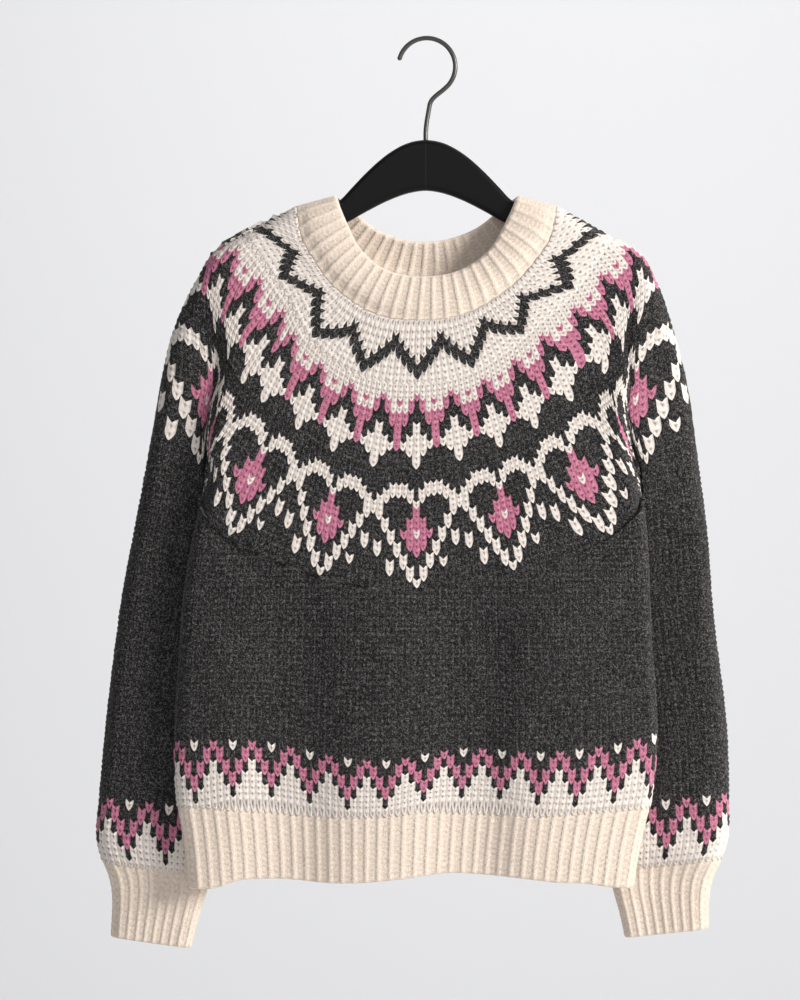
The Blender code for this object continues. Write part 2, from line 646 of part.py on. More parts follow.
def make_hook(material):
    curve = bpy.data.curves.new("hook", "CURVE")
    curve.dimensions = "3D"
    curve.bevel_depth = WIRE / 2 * MM
    curve.bevel_resolution = 2
    curve.use_fill_caps = True
    spline = curve.splines.new("POLY")
    route = hook_route()
    spline.points.add(len(route) - 1)
    for point, (x, z) in zip(spline.points, route):
        point.co = (x * MM, 0, z * MM, 1)
    curve.materials.append(material)
    obj = bpy.data.objects.new("hook", curve)
    bpy.context.scene.collection.objects.link(obj)
    return obj


def remove_startup_objects():
    for obj in list(bpy.data.objects):
        bpy.data.objects.remove(obj)


def main():
    remove_startup_objects()
    cream = plain_material("cream_wool", (0.86, 0.78, 0.67), 0.95)
    charcoal = plain_material("charcoal_wool", (0.07, 0.068, 0.07), 0.95)
    make_yoke(cream)
    make_body(charcoal)
    make_hem(cream)
    make_sleeve(-1, "sleeve_left", charcoal)
    make_sleeve(1, "sleeve_right", charcoal)
    make_cuff(-1, "cuff_left", cream)
    make_cuff(1, "cuff_right", cream)
    make_collar(cream)
    make_hanger(plain_material("black_wood", (0.02, 0.018, 0.018), 0.4))
    make_hook(plain_material("dark_wire", (0.12, 0.12, 0.13), 0.3, 1.0))


main()
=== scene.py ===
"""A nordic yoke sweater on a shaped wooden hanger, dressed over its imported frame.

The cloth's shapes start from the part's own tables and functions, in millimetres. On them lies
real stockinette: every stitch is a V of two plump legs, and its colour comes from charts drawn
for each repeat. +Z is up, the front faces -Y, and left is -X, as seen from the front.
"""
import math

import bpy
import numpy as np
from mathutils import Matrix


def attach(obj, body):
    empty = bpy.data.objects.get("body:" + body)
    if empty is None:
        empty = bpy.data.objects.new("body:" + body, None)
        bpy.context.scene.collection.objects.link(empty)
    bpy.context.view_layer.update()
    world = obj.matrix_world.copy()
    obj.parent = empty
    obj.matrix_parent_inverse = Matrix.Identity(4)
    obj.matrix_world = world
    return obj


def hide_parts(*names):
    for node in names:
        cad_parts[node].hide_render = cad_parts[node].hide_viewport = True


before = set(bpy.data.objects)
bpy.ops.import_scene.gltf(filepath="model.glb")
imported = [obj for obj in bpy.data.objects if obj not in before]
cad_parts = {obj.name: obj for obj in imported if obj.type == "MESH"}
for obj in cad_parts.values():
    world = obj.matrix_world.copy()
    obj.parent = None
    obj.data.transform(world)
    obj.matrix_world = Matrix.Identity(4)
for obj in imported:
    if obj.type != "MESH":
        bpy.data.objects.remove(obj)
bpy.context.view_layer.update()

MM = 0.001
rng = np.random.default_rng(7)

# Cloth ------------
KNIT = 3.2  # thickness of the stranded knit
RIB_KNIT = 2.6  # thickness of a rib's wall at its valleys
COLLAR_KNIT = 5.0  # folded double
SEAM_GAP = 0.3
HEARTS = 18  # hearts round the yoke
HALF = HEARTS / 2
YOKE_ROWS = 44
ROW_HEIGHT = 5.1
# Places on the last course where body and sleeves part, front and back.
PART_FRONT, PART_BACK = 3.05, 6.0
# How far past those places, in x, the edge of the body's top and of a sleeve's top drops.
BODY_TOP_END, SLEEVE_TOP_END = 4, 20

# Courses of the yoke by row below the neck seam: (hearts from the centre front, x, z) along
# the front, on the ridge, and along the back.
COURSES = {
    0: (
        ((0, 0, -240), (1, 34, -236), (2.15, 67, -218), (2.6, 79, -208), (3.3, 94, -189),
         (4, 106, -169)),
        (4.77, 111, -142),
        ((5.75, 92, -163), (6.87, 64, -188), (7.95, 30, -201), (9, 0, -204))),
    8: (
        ((0, 0, -289), (1, 47, -281), (2, 89, -252), (2.6, 110.5, -225.5), (3, 124.5, -208),
         (3.55, 141.5, -182)),
        (4.05, 152, -164),
        ((5, 128, -188), (6, 98, -214), (7, 66, -236), (8, 33, -248), (9, 0, -252))),
    13: (
        ((0, 0, -315), (1, 52, -305), (2, 98.5, -273), (2.6, 123, -246), (3, 139, -227),
         (3.6, 162, -198)),
        (4.15, 181, -181),
        ((5, 150, -208), (6, 114, -237), (7, 77, -260), (8, 38, -274), (9, 0, -279))),
    18.5: (
        ((0, 0, -342), (1.13, 66, -326.5), (2.25, 122, -287), (2.81, 149, -258),
         (3.4, 168, -234.5), (3.94, 184, -211.5)),
        (4.25, 195.5, -204),
        ((5, 172, -232), (6, 130, -264), (7, 88, -287), (8, 44, -301), (9, 0, -306))),
    28: (
        ((0, 0, -389), (1, 69, -375), (1.5, 98, -360), (2, 126, -342), (2.3, 144.5, -328),
         (2.6, 156.5, -318), (3, 167, -308), (3.5, 172.5, -291), (4, 181.5, -270)),
        (4.43, 214.5, -251.5),
        ((5, 187.5, -272), (6, 141, -305.5), (7, 109.5, -329), (8, 59, -348), (9, 0, -355))),
    33.5: (
        ((0, 0, -416.5), (1, 74, -401.5), (1.5, 107, -387.5), (2, 138, -370), (2.3, 160.5, -356),
         (2.6, 173, -348), (3, 175.5, -340), (3.5, 178, -322), (4, 182, -301.5)),
        (4.5, 223, -284),
        ((5, 193, -300), (6, 143, -331), (7, 118, -353), (8, 66, -375), (9, 0, -383))),
    44: (
        ((0, 0, -470.5), (1, 83, -458), (2, 164, -426), (2.3, 181, -411), (2.6, 186, -401),
         (3, 187, -392), (3.5, 188.5, -378), (4, 192, -366)),
        (4.5, 235.5, -357),
        ((5, 203, -369), (6, 146, -389), (7, 121, -403), (8, 70, -426), (9, 0, -434))),
}

# Half widths of the hanging tubes: z, then x of the edge.
BODY_EDGE = ((-212, 170), (-290, 176), (-355, 182), (-393, 188), (-444, 195.5), (-512, 200.5),
             (-597, 205), (-627, 204), (-652, 201), (-668, 197.5), (-690, 193.5), (-722, 189.5))
SLEEVE_OUTER = ((-357, 235.5), (-420, 245.5), (-495, 255), (-597, 267), (-650, 270),
                (-684, 270.5), (-699, 266.5), (-716, 259.5), (-775, 256.5))
SLEEVE_INNER = ((-357, 137), (-392, 138), (-495, 147), (-597, 159), (-684, 167), (-705, 170),
                (-722, 173), (-746, 180), (-775, 187))
# Sideways lean of the hanging cloth: z, then x of its centre line.
LEAN = ((-130, 0), (-190, -2.3), (-215, -4.7), (-255, -7.7), (-290, -8.2), (-380, -9.2),
        (-440, -8.8), (-597, -9.5), (-722, -14), (-775, -15))
# The same at the outer shoulders and sleeves, and how far from the middle these begin.
OUTER_LEAN = ((-130, 0), (-200, -0.5), (-250, -3), (-304, -2.5), (-358, -3.5), (-420, -5.5),
              (-470, -8.5), (-597, -9.5), (-722, -14), (-775, -15))
OUTER_FROM = ((-130, 110), (-265, 115), (-300, 160), (-380, 150), (-420, 120), (-775, 150))
OUTER_WIDTH = 30
# How much higher the courses lie on +X, and lower on -X: hearts, then the lift in the upper
# courses of the yoke and in its lower ones, and the rows over which it comes in and changes.
LIFTS = ((0, 0, 0), (0.5, 0.9, 2.6), (1, 1.8, 2.2), (1.5, 2.2, 0.6), (2, 1.4, 0.3),
         (2.6, -3.2, 0.8), (3, -4.2, 0), (3.5, -3.2, 0), (4, -1.2, 0), (4.6, 0, 0), (9, 0, 0))
LIFT_ROWS = 3
LIFT_CHANGE_ROW, LIFT_CHANGE_ROWS = 9, 8

# Depths ------------
RIDGE_DEPTH = 12  # half thickness where the cloth turns over the hanger
RIDGE_REACH = 12
SLEEVE_SWELL = 2  # what the middle of a sleeve adds to that
SLEEVE_SLOPE = 30  # over this distance from its edge
SLEEVE_BACK = 9  # how far the hanging sleeves lie behind the hanger
SLEEVE_TURN_Z = -200  # they start to fall back below this height
BODY_EDGE_DEPTH = 9.5  # half thickness of the body at its side edges
BODY_EDGE_REACH = 11
BODY_EDGE_Y = -15.2  # the side edges lie in front of the sleeves
BODY_BACK_Y = 12
BODY_SWELL = 1.5  # what the middle of the body's front adds to its depth
CREASE_REACH = 12
BACK_CREASE_REACH = 16
CREASE_TOP, CREASE_BOTTOM = -212, -385
BACK_CREASE_TOP = -235
BACK_CREASE_X = 138
BACK_CREASE_LEAN = 0.1  # how the crease moves outwards for each millimetre up
BACK_SLOPE = 50
FAR_INSIDE = 99.0  # a distance from any edge at which the edge no longer counts

# Soft waves: x, then y by which the cloth moves; outwards is negative in front.
FRONT_WAVES = ((-198, 0), (-160, -2.2), (-110, 4.0), (-92, 3.4), (-62, -3.0), (-12, -3.8),
               (40, 4.4), (62, 4.2), (92, -3.6), (145, -4.4), (190, 0))
BACK_WAVES = ((-190, 0), (-150, 1.5), (-105, -2.5), (-60, 2.8), (-20, -1.0), (15, 1.2),
              (58, -2.8), (104, 2.4), (150, -1.2), (190, 0))
WAVES_FROM, WAVES_FULL = -425, -520
# Soft troughs (and ridges, with a negative depth): x and z of both ends, width, depth.
FRONT_TROUGHS = ((-186, -408, -118, -470, 9, 2.2), (-190, -446, -140, -520, 11, 1.6),
                 (184, -404, 132, -458, 8, 1.8), (189, -452, 150, -540, 12, 1.9),
                 (-36, -520, -92, -612, 12, 1.2), (30, -500, 88, -606, 13, -1.4),
                 (-150, -560, -120, -640, 10, 1.3), (118, -540, 96, -640, 11, 1.5))
BACK_TROUGHS = ((-176, -402, -96, -482, 10, 2.4), (-182, -450, -120, -548, 12, 1.7),
                (172, -398, 104, -466, 9, 2.0), (180, -446, 132, -552, 13, 1.8),
                (-48, -470, -22, -610, 12, 1.6), (52, -500, 30, -640, 11, 1.3))
SLEEVE_WAVES = {-1: ((140, 0), (185, -1.0), (212, 0.5), (240, 2.0), (275, 5.0)),
                1: ((140, 0), (176, 4.0), (204, 5.0), (226, 0.8), (248, -3.2), (275, 0))}
SLEEVE_TROUGHS = {-1: ((250, -420, 170, -452, 8, 2.0), (262, -500, 176, -470, 9, 1.6),
                       (256, -540, 186, -575, 8, 1.9), (268, -628, 178, -600, 10, 1.5),
                       (262, -668, 196, -690, 7, 1.3)),
                  1: ((247, -436, 164, -410, 8, 1.7), (254, -470, 180, -508, 9, 1.9),
                      (264, -560, 176, -538, 8, 1.5), (262, -596, 190, -634, 9, 1.8),
                      (268, -690, 186, -668, 8, 1.2))}
SLEEVE_WAVES_FROM, SLEEVE_WAVES_FULL = -385, -450
EDGE_SOFT = 7  # the waves fade towards a tube's edges over this depth

# Ends of the pieces ------------
UNDERARM_Z = -395
HEM_TOP_Z = -657
# The hanging hem waves: x, height of the edging's peaks, of its valleys, of the rib's top.
HEM_WAVES = ((-208, -596, -652, -653), (-180, -595, -651, -653), (-158, -595, -646, -655),
             (-127, -597, -646, -657), (-93, -604, -651, -660), (-59, -610, -656, -661),
             (-23, -612, -655, -660), (8, -607, -649, -657), (42, -602.5, -647, -658),
             (75, -604, -648, -659), (104, -605, -652, -660), (138, -602.5, -654, -658),
             (175, -597, -651, -655.5), (208, -588, -648, -653))
HEM_WAVE_FADE = 90  # the waves are gone this far above the edging
HEM_LINE = ((-192, -721), (-167, -720.5), (-146, -714), (-117, -712.7), (-66, -716), (-22, -714),
            (0, -711.6), (33, -707.8), (57, -709), (105, -713), (122, -715), (146, -716),
            (171, -719.6), (192, -721))
CUFF_TOP_Z = -707  # on the sleeve's centre line
CUFF_BOTTOM_Z = -767
# The +X cuff hangs this much higher at its top and bottom, the other this much lower.
CUFF_LIFTS = (2.0, 4.0)
SLEEVE_TILT = 0.13  # courses of the sleeve rise towards its outer edge
CUFF_DEPTH = 9
FLATTEN_Z, FLATTEN_LENGTH = -690, 30  # where the sleeves flatten to the cuffs' depth

# Collar ------------
COLLAR_TOP = (
    ((0, 0, -204.5), (1, 26, -201), (2.15, 50, -187), (2.6, 58, -178), (3.3, 68, -160),
     (4, 75, -145)),
    (4.77, 79, -133),
    ((5.75, 68, -142), (6.87, 46, -160), (7.95, 22, -170), (9, 0, -172.7)))
COLLAR_RIDGE_DEPTH = 13.5
COLLAR_BULGE = 2.5
COLLAR_SLOPE = 20
COLLAR_OWN = 0.3  # above this share of its height it has left the yoke's depth
COLLAR_LEVELS, COLLAR_SAMPLES = 9, 832

# Hanger and hook ------------
WIRE = 4.0
HOOK_RADIUS = 24.3  # centre line of the hook's round
HOOK_TIP_ANGLE = 163
HOOK_END_ANGLE = -50
HOOK_SIDES, HOOK_RINGS = 20, 180
CAP_PARTS = (0.97, 0.85, 0.6, 0.3)  # of the wire's radius, along its rounded tip
STEM_X = -1.0  # x of the stem and of the wood's middle
STEM_BEND = ((6.5, -48.5), (2.7, -51.8), (2.1, -57))  # x, z of the bend's ends and corner
STEM_STRAIGHT_Z = -80
STEM_DEPTH = 12
WOOD_THICK = 12
WOOD_BEVEL = 4.4
WOOD_BEVEL_RINGS = 7
WOOD_CLEARANCE = 1.0
CLOSE_TO_SEAM = 4  # the wood keeps clear of the collar's wall this far past its seam
ARM_END = 182
# Top and lower edge of the wood where the neck opening shows it: x from its centre, z.
WOOD_TOP = ((0, -85.3), (14, -87.5), (32, -97), (49.5, -112), (63, -126), (72.5, -136))
WOOD_LOWER = ((0, -128.5), (14, -130.5), (31, -136.5), (50, -146), (69, -156.5))
ARM_HEIGHT = ((69, 23), (110, 21), (150, 18), (ARM_END, 15))
# Under the cloth: x of the points along the arm's top and lower edge, and the tip's
# corners (out from the arm's end, down from the last point of the top).
ARM_TOP_X = (79, 88, 99, 111, 125, 139, 152, 163, 172)
ARM_LOWER_X = (160, 135, 110, 90)
ARM_TIP = ((0, 9), (-5, 17))
SHOULDER_Z = -170  # the hanger leans sideways with the cloth at this height
SHOULDER_SAMPLES = 30  # points of the ridge line that lie over the arm

# Stitches ------------
CREAM, CHARCOAL, PINK, RIB_CREAM = range(4)
NECK_STITCHES, DIAMOND_STITCHES, HEART_STITCHES = 144, 192, 252
NECK_BAND, DIAMOND_BAND = 9, 24  # the rows at which the count of stitches changes
DIAMOND_START, HEART_START = 8, 26  # the charts' first rows
SLIP, LOST = 27, 2  # stitches from the centre front to the lost ones, and how many
# Rows of the chart, and where they lie among the courses.
ROW_WARP = ((0, 0), (8.5, 8.4), (12.5, 11.95), (23.5, 23.65), (30, 30), (44, 44))
BODY_STITCHES = 156
BODY_ROW = 4.66  # height of a row in the plain body
BODY_PHASE = 2  # stitches by which the edging is turned round the body
PEAK_TO_VALLEY = (0.58, 10.42)  # rows at which the edging's highest and lowest tips lie
SEAM_PUSH = 0.6  # of TUCK: how far the body's first rows draw back under the yoke
SEAM_EASE = 1.5  # from this far below the yoke's edge
HEM_ROWS = 12
SLEEVE_STITCHES = 42
SLEEVE_ROWS = 71
SLEEVE_PHASE = {-1: 0, 1: -1}
SLEEVE_OFFSET = {-1: 0.5, 1: 0.2}  # of a stitch, from the inner edge
SLEEVE_START_Z = -380.0  # where the search for the sleeve's heights begins
EDGED_ROWS = 10  # rows of a sleeve's edging, with its plain cream one
EDGING_SHARE = 0.16  # share of a sleeve's length that these take
OVERHANG_ROWS = 72  # rows to a sleeve's length where stitches hang past its last one
CUFF_ROWS = 11
COLLAR_STITCHES = 104
COLLAR_ROWS = 9
ZIG = 0.66  # how far a V's tips rise over its point, in rows
RELIEF = 1.6  # height of a leg's crest over the cloth's valleys
RIB_HEIGHT = 0.42  # the same of a rib
SUNK = 0.5  # the cloth's surface lies at this share of the relief
TUCK = 0.65  # how deep a piece's first row lies under the piece above
TUCK_FROM, TUCK_ROWS = 0.05, 0.5  # rows over which it comes up from there
TUCKED_UNDER = 4.0  # the body goes on under the yoke's edge this far
PLUMP, PLUMP_LIMIT = 0.13, 0.35  # how unevenly the stitches stand out, and its limit
PLUMP_SHARE = 0.6
BLOOM = 0.1  # how far a light stitch swells over a dark one, in stitches
NECK_BLOOM = -0.14  # in the neck band the dark ones swell
INNER_STEP = 6  # one ring inside for so many outside
MERGE_DISTANCE = 0.02
LIP_PARTS = (0.2, 0.5, 0.8)
COLLAR_LIP_PARTS = (0.9, 0.75, 0.5, 0.25, 0.1)
# Height of the points of a stitch, in shares of the relief, for its row line, upper third
# and lower third: between two stitches, on the left leg, in the middle, on the right leg.
STOCKING = np.array([[0.10, 0.15, 0.08], [0.42, 1.00, 0.90], [0.80, -0.55, 0.45],
                     [0.42, 1.00, 0.90]])
RIB_KNIT_STITCH = np.array([[-0.2, -0.2, -0.2], [0.60, 1.10, 0.95], [0.95, 0.35, 0.80],
                            [0.60, 1.10, 0.95]])
RIB_PURL_STITCH = np.array([[-0.2, -0.2, -0.2], [-0.85, -0.15, -0.30], [-0.90, 0.05, -0.25],
                            [-0.85, -0.15, -0.30]])
# How much painted shade darkens the same points, most in the stitches' hollows.
STOCKING_HOLLOW_SHADE = np.array([[0.12, 0.22, 0.16], [0.08, 0, 0], [0, 0.8, 0.15], [0.08, 0, 0]])
RIB_HOLLOW_SHADE = np.array([[0.30, 0.20, 0.20], [0.42, 0.14, 0.16], [0.45, 0.10, 0.14],
                        [0.42, 0.14, 0.16]])
# A rib's purl stitches take more of this painted shade than its knit ones.
PURL_SHADE, KNIT_SHADE = 0.7, 0.25  # what a rib's two stitches take of these
RIB_PINCH = 0.13  # how far a purl stitch spreads over the knit ones beside it
POINT_ROWS = np.array([0.0, 0.34, 0.70])
LEGS = np.array([0.0, 1.0, 0.0, -1.0])
LEG_TILT = np.array([0.0, -0.05, 0.05])  # a leg leans outwards towards its upper end
TIPS = np.array([-0.5, 0.1, 0.5, 0.1])  # a V's upper tips and its point, in parts of ZIG


# Curves and tables ------------
def table_span(at, knots):
    """Which part of a table holds a place, that part's length, and the share before it."""
    at = np.clip(at, knots[0], knots[-1])
    i = np.clip(np.searchsorted(knots, at, side="right") - 1, 0, len(knots) - 2)
    span = knots[i + 1] - knots[i]
    return i, span, (at - knots[i]) / span


def cubic(t, span, start, end, start_slope, end_slope):
    """Between two values, with given slopes at both, at a share of the way."""
    return ((2 * t**3 - 3 * t**2 + 1) * start + (t**3 - 2 * t**2 + t) * span * start_slope
            + (3 * t**2 - 2 * t**3) * end + (t**3 - t**2) * span * end_slope)


def smooth(at, knots, values, end_slopes=(None, None)):
    """Cubic curve through a short table, read at any place."""
    knots, values = np.asarray(knots, float), np.asarray(values, float)
    slopes = np.gradient(values, knots)
    for index, slope in zip((0, -1), end_slopes):
        if slope is not None:
            slopes[index] = slope
    i, span, t = table_span(at, knots)
    return cubic(t, span, values[i], values[i + 1], slopes[i], slopes[i + 1])


def stacked_smooth(at, knots, stack):
    """smooth() along a stack's first axis, read at a place of its own for each element."""
    knots = np.asarray(knots, float)
    slopes = np.gradient(stack, knots, axis=0)
    i, span, t = table_span(at, knots)
    ends = [np.take_along_axis(a, k[None], 0)[0] for a in (stack, slopes) for k in (i, i + 1)]
    return cubic(t, span, *ends)


def by_height(table, z):
    """Reads a (z, value) table whose heights fall."""
    z_values, values = zip(*table[::-1])
    return smooth(z, z_values, values)


def ease(t):
    t = np.clip(t, 0, 1)
    return t * t * (3 - 2 * t)


def quarter_round(t):
    """0 at an edge, 1 from one reach inside it, round in between."""
    return np.sqrt(np.maximum(0, 1 - (1 - np.clip(t, 0, 1))**2))


def swelling(inside, slope):
    """0 at an edge, towards 1 far inside it."""
    return 1 - np.exp(-np.maximum(inside, 0) / slope)


def unit(vectors):
    return vectors / np.maximum(np.linalg.norm(vectors, axis=-1, keepdims=True), 1e-9)


def run_along(line):
    """How far along a line each of its points lies."""
    return np.concatenate([[0], np.cumsum(np.linalg.norm(np.diff(line, axis=0), axis=1))])


def between(table, level, at):
    """Reads a table of rings of points: at a level, and at a place on the ring."""
    low = np.clip(level.astype(int), 0, len(table) - 2)
    left = np.clip(at.astype(int), 0, table.shape[1] - 2)
    part, rest = (level - low)[..., None], (at - left)[..., None]
    ring = [table[low + i, left] * (1 - rest) + table[low + i, left + 1] * rest for i in (0, 1)]
    return ring[0] * (1 - part) + ring[1] * part


# The hanging cloth's form ------------
def course_xz(course, hearts):
    """x and z on one course, hearts counted 0 to 9 from centre front to centre back."""
    front, ridge, back = course
    front, back = np.array(front + (ridge,)).T, np.array((ridge,) + back).T
    out = []
    for axis, slope in ((1, None), (2, 0)):
        before = smooth(hearts, front[0], front[axis], (slope, 0))
        behind = smooth(hearts, back[0], back[axis], (0, slope))
        out.append(np.where(hearts <= ridge[0], before, behind))
    return np.array(out)


def warped_hearts(hearts, ridge, course_ridge):
    """Moves a place so that each course meets the ridge at the same count."""
    front = hearts * course_ridge / ridge
    back = HALF - (HALF - hearts) * (HALF - course_ridge) / (HALF - ridge)
    return np.where(hearts <= ridge, front, back)


RIDGE_HEARTS, RIDGE_X, RIDGE_Z = np.array([ridge for _, ridge, _ in COURSES.values()]).T
COURSE_ROWS = list(COURSES)


def ridge_line(samples=90):
    """The outline that the shoulders and sleeves show, from neck seam to cuff."""
    row = np.linspace(0, YOKE_ROWS, samples)
    x, z = smooth(row, COURSE_ROWS, RIDGE_X), smooth(row, COURSE_ROWS, RIDGE_Z)
    below = np.linspace(z[-1] - 5, SLEEVE_OUTER[-1][0], samples // 2)
    return np.concatenate([x, by_height(SLEEVE_OUTER, below)]), np.concatenate([z, below])


RIDGE_LINE = ridge_line()


def inside_distance(x, z, line):
    """Distance of points from a polyline."""
    line_x, line_z = line
    ax, az = line_x[:-1], line_z[:-1]
    dx, dz = np.diff(line_x), np.diff(line_z)
    px, pz = np.asarray(x)[..., None], np.asarray(z)[..., None]
    t = np.clip(((px - ax) * dx + (pz - az) * dz) / (dx * dx + dz * dz), 0, 1)
    return np.sqrt((px - ax - t * dx)**2 + (pz - az - t * dz)**2).min(axis=-1)


def sleeve_depth(inside):
    swell = swelling(inside - RIDGE_REACH / 2, SLEEVE_SLOPE)
    return RIDGE_DEPTH * quarter_round(inside / RIDGE_REACH) + SLEEVE_SWELL * swell


def sleeve_middle(z):
    """y of the sleeves' middle: the hanger's plane at the shoulder, behind it below."""
    return SLEEVE_BACK * ease((SLEEVE_TURN_Z - z) / (SLEEVE_TURN_Z - CREASE_BOTTOM))


def body_front_y(inside):
    round_edge = BODY_EDGE_DEPTH * quarter_round(inside / BODY_EDGE_REACH)
    return BODY_EDGE_Y - round_edge - BODY_SWELL * swelling(inside, BACK_SLOPE)


def back_crease_x(z):
    return BACK_CREASE_X + BACK_CREASE_LEAN * (z - UNDERARM_Z)


def body_back_y(x, z, inside):
    """Flat behind the side edges, where the sleeves lie, and full between them."""
    edge = BODY_EDGE_Y + BODY_EDGE_DEPTH * quarter_round(inside / BODY_EDGE_REACH)
    full = BODY_BACK_Y - BODY_EDGE_Y - BODY_EDGE_DEPTH
    return edge + full * ease((back_crease_x(z) - np.abs(x)) / BACK_SLOPE)


def yoke_y(x, z, side):
    """Shoulders over the hanger, which part downwards into the body's tube and the sleeves."""
    sleeve = sleeve_middle(z) + side * sleeve_depth(inside_distance(x, z, RIDGE_LINE))
    body_inside = by_height(BODY_EDGE, z) - x
    crease = ease((CREASE_TOP - z) / (CREASE_TOP - CREASE_BOTTOM))
    front_pull = crease * quarter_round(body_inside / CREASE_REACH)
    front = sleeve + front_pull * (body_front_y(body_inside) - sleeve)
    groove = ease((BACK_CREASE_TOP - z) / (BACK_CREASE_TOP - UNDERARM_Z))
    outside = x - back_crease_x(z)
    valley = BODY_EDGE_Y + BODY_EDGE_DEPTH
    inner = body_back_y(x, z, np.full_like(x, FAR_INSIDE))
    outer = valley + (sleeve - valley) * quarter_round(outside / BACK_CREASE_REACH)
    back = sleeve + groove * (np.where(outside > 0, outer, inner) - sleeve)
    return np.where(side < 0, front, back)


def yoke_surface(row, hearts):
    """Points of the yoke; hearts run from 0 to 18 round from the centre front over +X."""
    row, hearts = np.broadcast_arrays(row, hearts % HEARTS)
    mirrored = hearts > HALF
    half = np.where(mirrored, HEARTS - hearts, hearts)
    ridge = smooth(row, COURSE_ROWS, RIDGE_HEARTS)
    places = np.array([course_xz(course, warped_hearts(half, ridge, own_ridge))
                       for course, own_ridge in zip(COURSES.values(), RIDGE_HEARTS)])
    x = stacked_smooth(row, COURSE_ROWS, places[:, 0])
    z = stacked_smooth(row, COURSE_ROWS, places[:, 1])
    lift_at, upper, lower = np.array(LIFTS).T
    low = ease((row - LIFT_CHANGE_ROW) / LIFT_CHANGE_ROWS)
    lift = np.interp(half, lift_at, upper) * (1 - low) + np.interp(half, lift_at, lower) * low
    z = z + lift * ease(row / LIFT_ROWS) * np.where(mirrored, -1, 1)
    y = yoke_y(x, z, np.where(half <= ridge, -1, 1))
    return np.stack([np.where(mirrored, -x, x), y, z], axis=-1)


def sleeve_fullness(z):
    """The cuffs are flatter than the sleeves."""
    flat = CUFF_DEPTH / (RIDGE_DEPTH + SLEEVE_SWELL)
    return 1 - (1 - flat) * ease((FLATTEN_Z - z) / FLATTEN_LENGTH)


def sleeve_course_z(height, share):
    """Height of a point on a sleeve's course that crosses its middle at height."""
    width = by_height(SLEEVE_OUTER, height) - by_height(SLEEVE_INNER, height)
    return height + SLEEVE_TILT * width * (share - 0.5)


def body_ring(turn, z):
    """turn runs from 0 at the centre front over the +X edge to 1 at the centre back."""
    edge = by_height(BODY_EDGE, z)
    x = np.sin(turn * math.pi)**0.8 * edge
    inside = edge - x
    y = np.where(turn <= 0.5, body_front_y(inside), body_back_y(x, z, inside))
    return np.stack([x, y, z], axis=-1)


def sleeve_ring(turn, z):
    """turn runs from 0 at the inner edge over the front and outer edge back to 1."""
    outer, inner = by_height(SLEEVE_OUTER, z), by_height(SLEEVE_INNER, z)
    x = inner + (outer - inner) * (1 - np.cos(turn * 2 * math.pi)) / 2
    depth = sleeve_depth(np.minimum(outer - x, x - inner)) * sleeve_fullness(z)
    return np.stack([x, sleeve_middle(z) + np.where(turn < 0.5, -1, 1) * depth, z], axis=-1)


class Tube:
    """A tube of cloth whose columns lie evenly round it at every height."""

    def __init__(self, points, heights, samples=400):
        self.heights = np.array(heights, float)
        self.points = points
        turn = np.linspace(0, 1, samples + 1)
        even = []
        for z in self.heights:
            run = run_along(points(turn, np.full_like(turn, z)))
            even.append(np.interp(turn * run[-1], run, turn))
        self.even = np.array(even)[..., None]
        self.samples = samples

    def __call__(self, share, z):
        """Points at a share (0 to 1) of the way round, at height z."""
        level = np.interp(-z, -self.heights, np.arange(len(self.heights)))
        turn = between(self.even, level, np.clip(share, 0, 1) * self.samples)
        return self.points(turn[..., 0], z)


BODY_TUBE = Tube(body_ring, np.arange(-380, -740, -15))
SLEEVE_TUBE = Tube(sleeve_ring, np.arange(-340, -800, -15))


def seam_line(hearts, past_left, past_right=None):
    """x and z along a part of the yoke's lower edge; past its ends it drops to the underarm."""
    points = yoke_surface(np.array(float(YOKE_ROWS)), hearts)
    x, _, z = points[np.argsort(points[:, 0])].T
    x, z = np.insert(x, 0, x[0] - past_left), np.insert(z, 0, UNDERARM_Z)
    if past_right is not None:
        x, z = np.append(x, x[-1] + past_right), np.append(z, UNDERARM_Z)
    return x, z


def seam_lines():
    """The yoke's lower edge over the body and over a sleeve, each in front and behind."""
    whole, half = np.linspace(-HALF, HALF, 361), np.linspace(0, HALF, 181)
    side_front = half[(half > PART_FRONT) & (half <= HALF / 2)]
    side_back = half[(half < PART_BACK) & (half >= HALF / 2)]
    body = [seam_line(hearts, BODY_TOP_END, BODY_TOP_END)
            for hearts in (whole[np.abs(whole) < PART_FRONT], whole[np.abs(whole) > PART_BACK])]
    return body, [seam_line(hearts, SLEEVE_TOP_END) for hearts in (side_front, side_back)]


BODY_TOP, SLEEVE_TOP = seam_lines()


def top_height(edges, x, front):
    (front_x, front_z), (back_x, back_z) = edges
    return np.where(front, np.interp(x, front_x, front_z), np.interp(x, back_x, back_z)) - SEAM_GAP


def leaning(points):
    """Points moved sideways as the cloth hangs, less or more at the shoulders' outer part."""
    points = points.copy()
    x, z = points[..., 0], points[..., 2]
    outer = ease((np.abs(x) - by_height(OUTER_FROM, z)) / OUTER_WIDTH)
    points[..., 0] = x + by_height(LEAN, z) * (1 - outer) + by_height(OUTER_LEAN, z) * outer
    return points


def troughs(x, z, table):
    """Depths of soft creases that taper towards both of their ends."""
    total = np.zeros_like(x)
    for x0, z0, x1, z1, width, depth in table:
        along_x, along_z = x1 - x0, z1 - z0
        t = ((x - x0) * along_x + (z - z0) * along_z) / (along_x**2 + along_z**2)
        t = np.clip(t, 0, 1)
        away = (x - x0 - t * along_x)**2 + (z - z0 - t * along_z)**2
        total += depth * np.exp(-away / width**2) * np.sqrt(4 * t * (1 - t))
    return total


